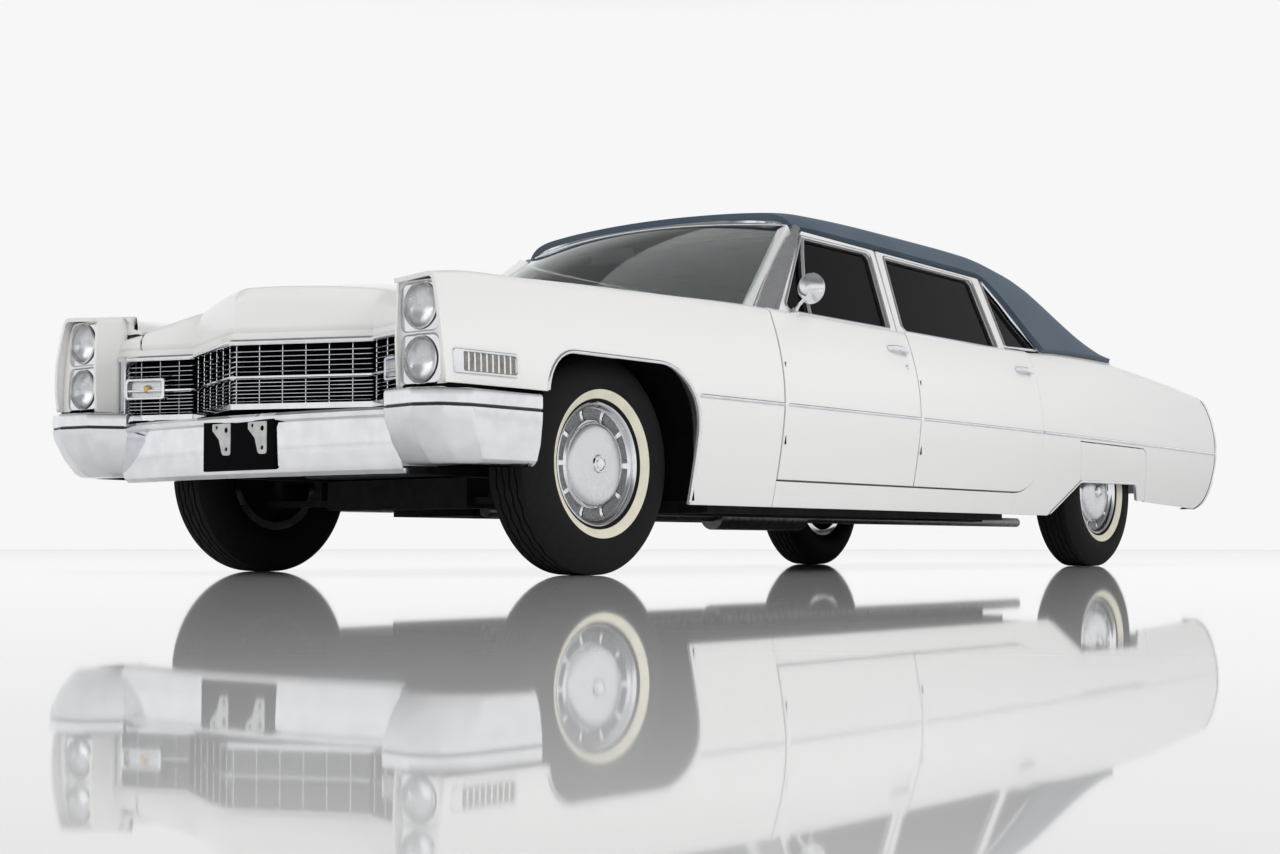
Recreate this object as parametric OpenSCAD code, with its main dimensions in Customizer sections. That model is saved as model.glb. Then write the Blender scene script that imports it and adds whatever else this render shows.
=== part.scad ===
// Long-wheelbase limousine, four doors, about 6.2 m long. X forward, Y left, Z up, origin on the road.

/* [Overall] */
// Front axle ahead of the middle of the car
axle_f = 2255; // [2225:1:2285]
// Distance between the axles
wheelbase = 3804; // [3770:1:3840]
// Height of the trim line, where the body is widest
trim_z = 604; // [560:1:650]
// Lower edge of the sill
sill_z = 235; // [200:1:280]
// Lower edge of the doors
door_z = 335; // [300:1:370]
// Gap between the panels
shut_gap = 7; // [6:0.5:10]
// Running clearance at pins and spindles
fit = 0.3; // [0.2:0.05:0.6]

/* [Wheels] */
// Distance between the wheels of one axle
track = 1587; // [1570:1:1604]
// Tyre radius
tyre_r = 362; // [340:1:385]
// Tyre width
tyre_w = 208; // [190:1:225]
// Radius where the tyre sits on the rim
bead_r = 195; // [185:1:205]
// Wheel cover radius
cover_r = 203; // [195:1:210]
// Wheel cover outer face from the wheel centre
cover_out = 70; // [55:1:85]
// Spindle radius
spindle_r = 20; // [16:0.5:26]
// Steering pivot inboard of the wheel centre
kingpin_in = 103.5; // [95:0.5:115]
// Steering pivot radius
kingpin_r = 16; // [12:0.5:20]

/* [Doors] */
// Front edge of the front door
door_a = 1373; // [1340:1:1400]
// Line between the doors
door_b = 410; // [370:1:450]
// Rear edge of the rear door
door_c = -690; // [-730:1:-650]
// Door thickness
door_t = 100; // [80:1:120]
// Depth of the outer flange of a door
flange_t = 30; // [24:1:36]
// Width of the flange past the inner door
flange_w = 45; // [35:1:60]
// Hinge pin from the door's front edge and skin
hinge_in = 14; // [12:0.5:18]
// Hinge pin radius
pin_r = 5; // [4:0.5:7]
// Height of the lower door hinge
hinge_low = 520; // [480:1:560]
// Height of the upper door hinge
hinge_high = 700; // [650:1:740]

/* [Greenhouse] */
// Lower edge of the side windows
belt_z = 962; // [940:1:985]
// Lean of the side windows
side_lean = 27; // [20:0.5:32]
// Outer face of the window frames at the belt
frame_y = 915; // [890:1:930]
// Depth of the window frames
frame_t = 32; // [24:1:40]
// Upper edge of the door frames at the line between the doors
rail_z = 1322; // [1300:1:1335]
// Fall of that edge towards the rear, per length
rail_fall = 0.018; // [0.01:0.001:0.02]
// Side window thickness
glass_t = 6; // [4:0.5:8]

/* [Hood and deck] */
// Rear edge of the hood
hood_rear = 1655; // [1620:1:1700]
// Half width of the hood
hood_hw = 655; // [620:1:690]
// Fender and quarter panel thickness
fender_t = 22; // [16:1:30]
// Headlamp radius
lamp_r = 60; // [55:0.5:64]
// Panel thickness
panel_t = 25; // [18:1:32]
// Front edge of the trunk lid
lid_front = -1806; // [-1860:1:-1740]
// Rear edge of the trunk lid
lid_rear = -2945; // [-2980:1:-2900]
// Half width of the trunk lid
lid_hw = 640; // [600:1:680]

/* [Plate bracket] */
// Plate hole spacing across
plate_hole_y = 178; // [150:1:200]
// Plate hole spacing upright
plate_hole_z = 121; // [100:1:140]
// Plate hole radius
plate_hole_r = 3.3; // [2.5:0.1:4]

/* [Hidden] */
axle_r = axle_f - wheelbase;
wheel_y = track / 2;
kingpin_y = wheel_y - kingpin_in;
firewall_x = hood_rear - 27;
firewall_t = 48;
hood_axis_x = hood_rear + 100;
hood_axis_y = hood_hw - 57;
hood_axis_z = 934;
lid_axis_x = lid_front - 60;
lid_axis_y = lid_hw - 82;
lid_axis_z = 964;
jamb_y = 950;
glass_hw = 786;
$fn = 48;

// Body side sections: place along the car, half width at the trim line, at the sill and at the
// shoulder, and height of the shoulder
X = 0;
Y_TRIM = 1;
Y_SILL = 2;
Y_TOP = 3;
Z_TOP = 4;
BODY = [
    [-3090, 880, 838, 842, 895],
    [-2960, 888, 845, 846, 909],
    [-2567, 915, 866, 864, 941],
    [-2172, 942, 888, 878, 966],
    [-1862, 960, 905, 889, 984],
    [-1400, 984, 928, 906, 998],
    [-938, 1002, 944, 922, 985],
    [-690, 1008, 950, 930, 970],
    [410, 1014, 955, 940, 957],
    [1373, 1010, 952, 938, 958],
    [2255, 995, 940, 930, 934],
    [2665, 985, 932, 926, 921],
    [2889, 974, 922, 918, 915],
    [3070, 960, 915, 910, 895]
];

// Roof sections: place along the car, height at the centre, height and half width of the
// shoulder, height and half width of the lower edge
Z_MID = 1;
Z_SHOULDER = 2;
Y_SHOULDER = 3;
Z_EDGE = 4;
Y_EDGE = 5;
ROOF = [
    [-1690, 1035, 1010, 735, 1000, 880],
    [-1450, 1180, 1135, 720, 1004, 890],
    [-1118, 1375, 1322, 676, 1000, 898],
    [-860, 1430, 1378, 662, 990, 905],
    [-740, 1444, 1392, 664, 1130, 825],
    [-630, 1450, 1400, 668, 1311, 728],
    [-300, 1455, 1402, 672, 1317, 728],
    [250, 1462, 1402, 675, 1327, 728],
    [700, 1446, 1396, 668, 1335, 726],
    [930, 1412, 1385, 640, 1345, 700]
];

// Hood sections: place along the car and height at the centre, and height of the side edge
HOOD = [
    [1655, 1000, 942],
    [2100, 1008, 918],
    [2540, 988, 890],
    [2760, 960, 866],
    [2900, 940, 846],
    [2985, 926, 838]
];

function column(table, c, x) = lookup(x, [for (row = table) [row[0], row[c]]]);

// Half width of the body side at a place along the car and a height
function side_y(x, z) =
    let (wide = column(BODY, Y_TRIM, x))
    z < trim_z
        ? wide - (wide - column(BODY, Y_SILL, x)) * pow((trim_z - z) / (trim_z - sill_z), 1.4)
        : wide - (wide - column(BODY, Y_TOP, x)) * pow((z - trim_z) / (column(BODY, Z_TOP, x) - trim_z), 2);

function steps(a, b, n) = [for (i = [0:n]) a + (b - a) * i / n];

// Stations of a panel: its two ends and the table rows between them
function stations(a, b) = concat([a], [for (row = BODY) if (row[X] > a + 30 && row[X] < b - 30) row[X]], [b]);

// Points of a polygon with rounded corners
function rounded(pts, r, n = 4) = [
    for (i = [0:len(pts) - 1])
    let (
        p = pts[i],
        q = pts[(i + len(pts) - 1) % len(pts)],
        s = pts[(i + 1) % len(pts)],
        u = (q - p) / norm(q - p),
        v = (s - p) / norm(s - p),
        half = acos(u * v) / 2,
        back = r / tan(half),
        mid = p + (u + v) / norm(u + v) * r / sin(half),
        a = p + u * back - mid,
        b = p + v * back - mid
    )
    for (k = [0:n])
    let (w = a * (n - k) / n + b * k / n) mid + w / norm(w) * r
];

// Solid between an outer and an inner grid of points
module slab(outer, inner) {
    m = len(outer);
    n = len(outer[0]);
    o = m * n;
    function id(i, j) = i * n + j;
    turn = cross(outer[1][0] - outer[0][0], outer[0][1] - outer[0][0]) * (outer[0][0] - inner[0][0]) > 0;
    points = concat([for (row = outer) for (p = row) p], [for (row = inner) for (p = row) p]);
    rim = concat(
        [for (i = [0:m - 2]) id(i, 0)],
        [for (j = [0:n - 2]) id(m - 1, j)],
        [for (i = [m - 1:-1:1]) id(i, n - 1)],
        [for (j = [n - 1:-1:1]) id(0, j)]
    );
    skin = [for (i = [0:m - 2]) for (j = [0:n - 2])
        for (t = [[id(i, j), id(i + 1, j), id(i + 1, j + 1)], [id(i, j), id(i + 1, j + 1), id(i, j + 1)]]) t];
    edge = [for (k = [0:len(rim) - 1])
        let (p = rim[k], q = rim[(k + 1) % len(rim)])
        for (t = [[q, p, p + o], [q, p + o, q + o]]) t];
    faces = concat(skin, [for (t = skin) [t[2] + o, t[1] + o, t[0] + o]], edge);
    polyhedron(points, turn ? [for (t = faces) [t[2], t[1], t[0]]] : faces);
}

// Straight bar between two points with two cross directions
module strut(p, q, u, v) {
    slab(
        [[p + u + v, p - u + v], [q + u + v, q - u + v]],
        [[p + u - v, p - u - v], [q + u - v, q - u - v]]
    );
}

// Box between two corners
module box(a, b) {
    translate(a) cube(b - a);
}

module both_sides() {
    children();
    mirror([0, 1, 0]) children();
}

// Extrude a side view outline across the car, from one width to another
module side_view(y0, y1) {
    translate([0, y1, 0]) rotate([90, 0, 0]) linear_extrude(y1 - y0) children();
}

// Piece of the body side between two stations and two heights, between two depths
module side_slab(xs, zs, d0, d1) {
    slab(
        [for (x = xs) [for (z = zs) [x, side_y(x, z) - d0, z]]],
        [for (x = xs) [for (z = zs) [x, side_y(x, z) - d1, z]]]
    );
}

// Section of a fender from its lower edge over the shoulder to its inner edge
function fender_section(x, zb, y_in, z_in, d) =
    let (zt = column(BODY, Z_TOP, x), yt = column(BODY, Y_TOP, x))
    concat(
        [for (z = concat(steps(zb, trim_z, 2), steps(trim_z + (zt - trim_z) / 2, zt - 28, 1)))
            [x, side_y(x, z) - d, z]],
        [
            [x, yt - 22 - d, zt - d],
            [x, (yt + y_in) / 2 - d / 2, (zt + z_in) / 2 + 6 - d],
            [x, y_in, z_in - d]
        ]
    );

// Panel from its lower edge to an inner edge given as half width and height at each place
module fender_slab(xs, zb, inner, d) {
    slab(
        [for (x = xs) fender_section(x, zb, inner(x)[0], inner(x)[1], 0)],
        [for (x = xs) fender_section(x, zb, inner(x)[0], inner(x)[1], d)]
    );
}

// Frame rails, cross members and bumper irons
module frame() {
    color([0.10, 0.10, 0.11])
    union() {
        both_sides() {
            box([1500, 350, 330], [2905, 420, 430]);
            box([-1220, 350, 215], [1560, 420, 331]);
            box([-1220, 350, 215], [-1142, 420, 560]);
            box([-2955, 350, 470], [-1142, 420, 560]);
            box([1400, 419, 215], [1560, 800, 290]);
            box([-690, 740, 215], [1420, 800, 290]);
            box([-690, 419, 215], [-560, 800, 290]);
        }
        box([2700, -351, 340], [2780, 351, 420]);
        box([300, -351, 266], [380, 351, 304]);
        box([-2860, -351, 480], [-2800, 351, 550]);
    }
}

// Floor with the shaft tunnel, firewall side toe board and trunk floor
module floor_pan() {
    color([0.14, 0.14, 0.15])
    union() {
        difference() {
            box([-1120, -800, 334], [1640, 800, 352]);
            box([-1121, -170, 300], [1641, 170, 400]);
            both_sides() box([1495, 345, 300], [1641, 425, 400]);
        }
        difference() {
            box([-1120, -185, 334], [1640, 185, 480]);
            box([-1121, -170, 300], [1641, 170, 465]);
        }
        difference() {
            box([-1138, -620, 334], [-1120, 620, 620]);
            box([-1139, -60, 300], [-1119, 60, 420]);
        }
        box([-2930, -620, 602], [-1121, 620, 620]);
    }
}

module sills() {
    color([0.90, 0.90, 0.88])
    both_sides()
    slab(
        [for (x = stations(-690, 1858)) [for (z = steps(sill_z, door_z - shut_gap, 2)) [x, side_y(x, z), z]]],
        [for (x = stations(-690, 1858)) [for (z = steps(sill_z, door_z - shut_gap, 2)) [x, 800, z]]]
    );
}

// Front arch outline in side view
function arch_points(cx, grow) = rounded([
    [cx - 385 - grow, 100],
    [cx - 395 - grow, 620 + grow],
    [cx - 250, 700 + grow],
    [cx + 235, 700 + grow],
    [cx + 385 + grow, 560],
    [cx + 500, 568],
    [cx + 900, 568],
    [cx + 900, 100]
], 30);

// Stations of the front fender, with steps at the cowl and at the front corner of the hood
FENDER_X = concat(
    [door_a + shut_gap / 2, hood_rear - 8, hood_rear - 5],
    [2100, 2255, 2540, 2760],
    [nose_x(hood_hw) - 36, nose_x(hood_hw), 2985, 3068]
);
lamp_wall_y = 742;
function fender_inner(x) =
    x < hood_rear - 6 ? [876, 944]
    : x < nose_x(hood_hw) - 1 ? [hood_hw + shut_gap, column(HOOD, 2, x)]
    : [lamp_wall_y, column(BODY, Z_TOP, x) - 6];

module front_fenders() {
    color([0.92, 0.92, 0.90])
    both_sides()
    union() {
        difference() {
            fender_slab(FENDER_X, door_z, function (x) fender_inner(x), fender_t);
            side_view(600, 1100) polygon(arch_points(axle_f, 0));
        }
        box([2862, lamp_wall_y, 572], [3011, lamp_wall_y + 20, 866]);
    }
}

// Front faces around the lamps
module headlamp_bezels() {
    color([0.80, 0.81, 0.83])
    both_sides()
    difference() {
        translate([3011, 0, 0]) rotate([90, 0, 90]) linear_extrude(24)
            polygon([[745, 576], [925, 576], [930, 680], [911, 802], [892, 867], [745, 867]]);
        for (z = [642, 802]) {
            translate([3000, 841, z]) rotate([0, 90, 0]) cylinder(h = 50, r = lamp_r);
        }
    }
}

module headlamps() {
    color([0.86, 0.90, 0.93])
    both_sides()
    for (z = [642, 802]) {
        translate([2990, 841, z]) rotate([0, 90, 0]) cylinder(h = 26, r = lamp_r - fit);
    }
}

// Firewall, cowl top, hinge pillars and windshield pillars
module cowl() {
    color([0.90, 0.90, 0.88])
    union() {
        box([firewall_x - firewall_t, -800, 483], [firewall_x, 800, 930]);
        both_sides() {
            box([firewall_x - firewall_t, 430, 353], [firewall_x, 800, 490]);
            jamb([[1337, 40], [1374, 40], [1378, fender_t + fit], [1600, fender_t + fit]]);
            strut([1372, 832, 905], [869, 678, 1318], [30, 0, 25], [0, 22, 8]);
        }
        slab(
            [for (y = COWL_Y) [[cowl_x(y), y, cowl_z(y)], [firewall_x, y, cowl_z(y) + 2]]],
            [for (y = COWL_Y) [[cowl_x(y), y, 870], [firewall_x, y, 870]]]
        );
    }
}

// Widths at which the cowl edge bends, and its place and height there
COWL_Y = concat([-866], steps(-glass_hw, glass_hw, 8), [866]);
function cowl_x(y) = 1345 + 220 * (1 - pow(y / 866, 2));
function cowl_z(y) = 1000 - 52 * pow(y / 866, 2);

// Lower door post between the front and rear doors
module center_posts() {
    color([0.88, 0.88, 0.86])
    both_sides() jamb([[368, 40], [446, 40]]);
}

// Post behind the door edges: places along the car with the depth of its outer face
module jamb(rows) {
    zs = [door_z - shut_gap, (door_z + trim_z) / 2, trim_z, trim_z + 165, 882];
    slab(
        [for (r = rows) [for (z = zs) [r[0], r[1] < 40 ? side_y(r[0], z) - r[1] - (z > 880 ? 10 : z > trim_z ? 2 : 0.5) : min(side_y(r[0], z) - 40, jamb_y), z]]],
        [for (r = rows) [for (z = zs) [r[0], 800, z]]]
    );
}

module rear_quarters() {
    color([0.92, 0.92, 0.90])
    both_sides()
    union() {
        difference() {
            fender_slab(concat([-3080, -2960, -2567, -2172], [lid_front + 7, lid_front + 10], [-1400, -938],
                [door_c - shut_gap / 2]), sill_z, function (x) quarter_inner(x), fender_t);
            side_view(500, 1100) polygon(concat(
                [[-790, 200], [-1150, 400], [-1100, 585], [-1950, 585], [-2010, 318], [-2820, 298]],
                TAIL_LINE,
                [[-2926, 930], [-3200, 1000], [-3200, 200]]
            ));
        }
        intersection() {
            side_slab(steps(door_c - shut_gap, door_c + corner_x, 4), steps(door_z - shut_gap, door_z + corner_z, 4),
                0, fender_t);
            side_view(700, 1100) polygon(corner_points(shut_gap / 2));
        }
    }
}

deck_hw = 846;
function quarter_inner(x) = [x > lid_front + 9 ? deck_hw : lid_hw + shut_gap, column(BODY, Z_TOP, x) - 4];

// Rear edge of the quarter panel in side view, from its lower end up
TAIL_LINE = [[-2905, 350], [-2985, 425], [-3040, 520], [-3055, 629], [-3042, 735], [-2990, 830], [-2926, 900]];

// Rounded lower rear corner of the rear door, grown by a gap: the region outside the corner
corner_x = 210;
corner_z = 145;
function corner_points(gap) = concat(
    [for (a = steps(180, 270, 8))
        [door_c + corner_x + (corner_x + gap) * cos(a), door_z + corner_z + (corner_z + 2 * max(gap, 0)) * sin(a)]],
    [[door_c + corner_x, door_z - 40], [door_c - 40, door_z - 40], [door_c - 40, door_z + corner_z]]
);

module fender_skirts() {
    color([0.92, 0.92, 0.90])
    both_sides()
    intersection() {
        side_slab(stations(-2050, -1000), steps(300, 582, 4), 0, 20);
        side_view(600, 1100) polygon([
            [-1151, 400.5], [-1100.8, 584.6], [-1949.6, 584.6], [-2005.5, 331], [-1903, 329], [-1850, 410]
        ]);
    }
}

// Tail wall and deck ahead of the lid
module tail_panel() {
    color([0.90, 0.90, 0.88])
    union() {
        box([-2996, -780, 400], [-2955, 780, 880]);
        slab(
            [for (y = steps(-deck_hw + fit, deck_hw - fit, 8)) [[deck_x, y, 988 - deck_dome(y)], [-1700, y, 992 - deck_dome(y)]]],
            [for (y = steps(-deck_hw + fit, deck_hw - fit, 8)) [[deck_x, y, 850], [-1700, y, 850]]]
        );
    }
}

deck_x = lid_front + 13;
function deck_dome(y) = 10 * pow(y / deck_hw, 2);

function roof_row(r, d) =
    let (
        x = r[X],
        bow = x > 900 ? 120 : x > 600 ? 40 : 0,
        half = [
            [r[Y_EDGE] - d, r[Z_EDGE]],
            [(r[Y_EDGE] + r[Y_SHOULDER]) / 2 + 22 - d, (r[Z_EDGE] + r[Z_SHOULDER]) / 2 + 12 - d / 2],
            [r[Y_SHOULDER] - d / 2, r[Z_SHOULDER] - d],
            [r[Y_SHOULDER] * 0.6, r[Z_MID] - (r[Z_MID] - r[Z_SHOULDER]) * 0.36 - d],
            [r[Y_SHOULDER] * 0.3, r[Z_MID] - (r[Z_MID] - r[Z_SHOULDER]) * 0.09 - d]
        ],
        full = concat(half, [[0, r[Z_MID] - d]], [for (i = [4:-1:0]) [-half[i][0], half[i][1]]])
    )
    [for (p = full) [x - bow * pow(p[0] / 700, 2), p[0], p[1]]];

module roof() {
    color([0.30, 0.35, 0.41])
    union() {
        difference() {
            slab([for (r = ROOF) roof_row(r, 0)], [for (r = ROOF) roof_row(r, 30)]);
            translate([0, 0, 900]) linear_extrude(700) polygon([[-1060, -520], [-1060, 520], [-1640, 590], [-1640, -590]]);
        }
        both_sides() {
            strut([430, 846, 905], [268, 642, 1392], [26, 0, 0], [0, 12, 6]);
            box([404, 825, 882], [446, 868, 930]);
        }
    }
}

function roof_z(x, y) =
    let (s = column(ROOF, Y_SHOULDER, x), m = column(ROOF, Z_MID, x))
    m - (m - column(ROOF, Z_SHOULDER, x)) * pow(y / s, 2);

module rear_window() {
    color([0.20, 0.24, 0.27])
    slab(
        [for (x = [-1639.5, -1450, -1250, -1060.5]) [for (t = steps(-1, 1, 6))
            let (w = 520 + 70 * (-1060 - x) / 580) [x, t * (w - 0.6), roof_z(x, t * w) - 12]]],
        [for (x = [-1639.5, -1450, -1250, -1060.5]) [for (t = steps(-1, 1, 6))
            let (w = 520 + 70 * (-1060 - x) / 580) [x, t * (w - 0.6), roof_z(x, t * w) - 20]]]
    );
}

module windshield() {
    color([0.55, 0.62, 0.62])
    slab(
        [for (t = steps(-1, 1, 8)) [
            [cowl_x(t * glass_hw) - fit, t * glass_hw, cowl_z(t * glass_hw) - 10],
            [1080 + 190 * (1 - t * t), t * 694, 1215 - 28 * t * t],
            [830 + 116 * (1 - t * t), t * 628, 1380 - 32 * t * t]]],
        [for (t = steps(-1, 1, 8)) [
            [cowl_x(t * glass_hw) - 8, t * glass_hw, cowl_z(t * glass_hw) - 12],
            [1072 + 190 * (1 - t * t), t * 694, 1211 - 28 * t * t],
            [824 + 114 * (1 - t * t), t * 628, 1374 - 32 * t * t]]]
    );
}

// Plan line of the grille and hood lip
function nose_x(y) = abs(y) < 444 ? 3041 - 195 * abs(y) / 444 : 2846 + 89 * (abs(y) - 444) / 276;

module plan_strip(y1, out, deep) {
    ys = [for (y = concat([-y1, -444], [0], [444, y1])) y];
    polygon(concat(
        [for (y = ys) [nose_x(y) + out, y]],
        [for (i = [4:-1:0]) [nose_x(ys[i]) + out - deep, ys[i]]]
    ));
}

module grille() {
    color([0.78, 0.79, 0.81])
    union() {
        for (k = [0:8]) {
            thick = k == 4 ? 22 : 6;
            translate([0, 0, 545 + k * 23.5 - thick / 2]) linear_extrude(thick) plan_strip(700, k == 4 ? 8 : 0, 40);
        }
        translate([0, 0, 536]) linear_extrude(206) {
            for (k = [-14:14]) {
                y = k * 49;
                translate([nose_x(y) - 38, y - 2]) square([34, 4]);
            }
        }
        translate([0, 0, 530]) linear_extrude(216) plan_strip(700, -39, 12);
        both_sides() box([2875, 695, 573], [2940, lamp_wall_y, 748]);
    }
}

module signal_lamps() {
    color([0.90, 0.70, 0.40])
    both_sides()
    translate([0, 0, 606]) linear_extrude(58)
        polygon([for (p = [[8.2, 565], [8.2, 690], [30, 690], [30, 565]]) [nose_x(p[1]) + p[0], p[1]]]);
}

function pod_plan() = concat(
    [[2940, 700], [2985, 648], [3085, 720], [3105, 850], [3075, 950], [2980, 990], [2690, 1003]],
    [[2690, 940], [2950, 925], [3015, 895], [3030, 840], [3010, 760]]
);

module front_bumper() {
    color([0.80, 0.81, 0.83])
    union() {
        difference() {
            translate([0, 0, 318]) linear_extrude(200)
                polygon([[3020, 0], [3012, 200], [2990, 480], [2960, 700], [2905, 700], [2905, -700], [2960, -700],
                    [2990, -480], [3012, -200]]);
            box([2990, -170, 338], [3040, 170, 499]);
            for (y = [-1, 1]) for (z = [-1, 1]) {
                translate([2960, y * plate_hole_y / 2, 418 + z * plate_hole_z / 2]) rotate([0, 90, 0])
                    cylinder(h = 60, r = plate_hole_r, $fn = 16);
            }
        }
        both_sides() translate([0, 0, 335]) linear_extrude(225) polygon(rounded(pod_plan(), 12));
    }
}

module rear_bumper() {
    color([0.80, 0.81, 0.83])
    union() {
        translate([0, 0, 390]) linear_extrude(150)
            polygon(rounded([[-2996, 800], [-3098, 790], [-3098, -790], [-2996, -800]], 15));
        both_sides() side_view(790, 884) polygon(concat(
            [[-2965, 905], [-3032, 846], [-3080, 750], [-3098, 690], [-3098, 565], [-3075, 490], [-3023, 405], [-2945, 340]],
            [for (p = TAIL_LINE) p - [1, 0]]
        ));
    }
}

module tail_lamps() {
    color([0.60, 0.05, 0.06])
    both_sides() box([-3105, 820, 565], [-3098, 856, 685]);
}

module engine() {
    color([0.25, 0.27, 0.30])
    box([1740, -290, 335], [2480, 290, 860]);
}

module driveline() {
    color([0.30, 0.31, 0.33])
    union() {
        translate([1100, 0, 350]) rotate([0, 90, 0]) cylinder(h = 640, r = 95);
        translate([-1418.7, 0, 350]) rotate([0, 90, 0]) cylinder(h = 2530, r = 42);
    }
}

module rear_axle() {
    color([0.12, 0.12, 0.13])
    union() {
        translate([axle_r, 0, tyre_r]) sphere(r = 130);
        translate([axle_r, -700, tyre_r]) rotate([-90, 0, 0]) cylinder(h = 1400, r = 42);
        translate([axle_r, -wheel_y - 40, tyre_r]) rotate([-90, 0, 0]) cylinder(h = track + 80, r = spindle_r);
        both_sides() translate([axle_r, 385, tyre_r]) cylinder(h = 107.7, r = 55);
    }
}

module front_suspension() {
    color([0.12, 0.12, 0.13])
    union() {
        box([axle_f - 70, -349, 225], [axle_f + 70, 349, 329]);
        both_sides() {
            difference() {
                union() {
                    box([axle_f - 40, 330, tyre_r - 122], [axle_f + 40, kingpin_y + 24, tyre_r - 100]);
                    box([axle_f - 34, 420.2, tyre_r + 90], [axle_f + 34, kingpin_y + 24, tyre_r + 110]);
                    box([axle_f - 34, 420.2, tyre_r - 110], [axle_f + 34, 460, tyre_r + 100]);
                }
                translate([axle_f, kingpin_y, 0]) cylinder(h = 700, r = kingpin_r + fit);
            }
        }
    }
}

module knuckle() {
    color([0.22, 0.22, 0.24])
    union() {
        translate([axle_f, kingpin_y, tyre_r - 124]) cylinder(h = 236, r = kingpin_r);
        translate([axle_f, kingpin_y, tyre_r - 85]) cylinder(h = 160, r = 26);
        translate([axle_f, kingpin_y, tyre_r]) rotate([-90, 0, 0]) cylinder(h = wheel_y + 40 - kingpin_y, r = spindle_r);
        box([axle_f - 150, kingpin_y - 20, tyre_r - 30], [axle_f, kingpin_y, tyre_r + 5]);
    }
}

module wheel() {
    color([0.82, 0.83, 0.85])
    rotate([-90, 0, 0]) rotate_extrude()
    polygon([
        [spindle_r + fit, 10], [60, 10], [60, 30], [168, 30], [172, -66], [172, -80], [206, -80], [206, -72.6],
        [bead_r - fit, -66.4], [bead_r - fit, 66.4], [cover_r, 71], [cover_r, 80], [192, 80], [186, 50], [130, 54],
        [122, cover_out], [58, cover_out], [50, cover_out + 14], [0, cover_out + 18], [0, 45], [spindle_r + fit, 45]
    ]);
}

// Tyre side: radius and distance in from the widest point
TYRE_SIDE = [[bead_r, 38], [206, 32], [240, 8], [275, 0], [310, 3], [340, 14], [352, 26], [tyre_r, 38]];

module tyre() {
    color([0.05, 0.05, 0.05])
    rotate([-90, 0, 0]) rotate_extrude()
    polygon([
        for (s = [-1, 1]) for (p = s < 0 ? TYRE_SIDE : [for (i = [len(TYRE_SIDE) - 1:-1:0]) TYRE_SIDE[i]])
            [p[0], s * (tyre_w / 2 - p[1])]
    ]);
}

module at_wheel(x, side) {
    translate([x, side * wheel_y, tyre_r]) if (side > 0) children(); else mirror([0, 1, 0]) children();
}

// Side view outlines of the window frames and panes, on the leaning side plane
function up(z) = (z - belt_z) / cos(side_lean);

module on_side(depth) {
    translate([0, frame_y, belt_z]) rotate([90 + side_lean, 0, 0]) translate([0, 0, depth]) children();
}

function rail(x) = up(rail_z + rail_fall * (x - door_b));

FRONT_FRAME = [[1339, up(905)], [840, rail(840)], [307, rail(307)], [434, up(966)], [434, up(905)]];
FRONT_PANE = [[1240, up(belt_z)], [862, up(1306)], [352, up(1304)], [480, up(belt_z)]];
REAR_FRAME = [
    [402, up(905)], [402, up(951)], [427, up(958)], [291, rail(291)], [-583, rail(-583)], [-498, up(905)]
];
REAR_PANE = [[381, up(belt_z)], [245, up(1303)], [-504, up(1291)], [-440, up(belt_z)]];

module hinge_cuts(x) {
    y = side_y(x, trim_z) - hinge_in;
    for (z = [hinge_low, hinge_high]) {
        translate([x - hinge_in, y, z - 60]) cylinder(h = 120, r = pin_r + fit);
        translate([x - hinge_in - 9, y - 60, z - 16]) cube([60, 120, 32]);
    }
    translate([x - hinge_in, y, 300]) linear_extrude(700) difference() {
        square(60);
        circle(r = hinge_in);
    }
}

module hinge_pins(x) {
    y = side_y(x, trim_z) - hinge_in;
    for (z = [hinge_low, hinge_high]) {
        translate([x - hinge_in, y, z - 58]) cylinder(h = 116, r = pin_r);
        translate([x - hinge_in - pin_r, jamb_y, z - 11]) cube([2 * pin_r, y - jamb_y, 22]);
    }
}

module door_shell(x0, x1, frame_pts, pane_pts) {
    difference() {
        union() {
            side_slab(stations(x0, x1), steps(door_z, column(BODY, Z_TOP, x0) - 14, 6), 0, flange_t);
            side_slab(stations(x0 + flange_w, x1 - flange_w), steps(door_z + 7, column(BODY, Z_TOP, x0) - 20, 6), flange_t - 8, door_t);
            on_side(0) linear_extrude(frame_t) difference() {
                polygon(rounded(frame_pts, 6));
                polygon(rounded(pane_pts, 25));
            }
        }
        hinge_cuts(x1);
    }
}

module door_front() {
    color([0.92, 0.92, 0.90])
    door_shell(door_b + shut_gap / 2, door_a - shut_gap / 2, FRONT_FRAME, FRONT_PANE);
}

module door_rear() {
    color([0.92, 0.92, 0.90])
    difference() {
        door_shell(door_c + shut_gap / 2, door_b - shut_gap / 2, REAR_FRAME, REAR_PANE);
        side_view(700, 1100) polygon(corner_points(-shut_gap / 2));
    }
}

// Pin on an arm that comes out of a wall, lower down
module hinge_arm(x, y, z, wall_x, low) {
    translate([x, y - 28, z]) rotate([-90, 0, 0]) cylinder(h = 56, r = pin_r);
    box([min(x - pin_r, wall_x), y - 10, low], [max(x + pin_r, wall_x), y + 10, low + 18]);
    box([x - pin_r, y - 10, low], [x + pin_r, y + 10, z]);
}

// Pins and arms that carry the doors, the hood and the trunk lid
module hinges() {
    color([0.35, 0.35, 0.37])
    both_sides() {
        hinge_pins(door_a - shut_gap / 2);
        hinge_pins(door_b - shut_gap / 2);
        hinge_arm(hood_axis_x, hood_axis_y, hood_axis_z, firewall_x, 800);
        hinge_arm(lid_axis_x, lid_axis_y, lid_axis_z, deck_x, 852);
    }
}

module pane(pts) {
    color([0.10, 0.10, 0.12])
    on_side(frame_t / 2) linear_extrude(glass_t) polygon(rounded([for (p = pts) p + ([mid_of(pts)[0], mid_of(pts)[1]] - p) * 0.0008], 25));
}

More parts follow.
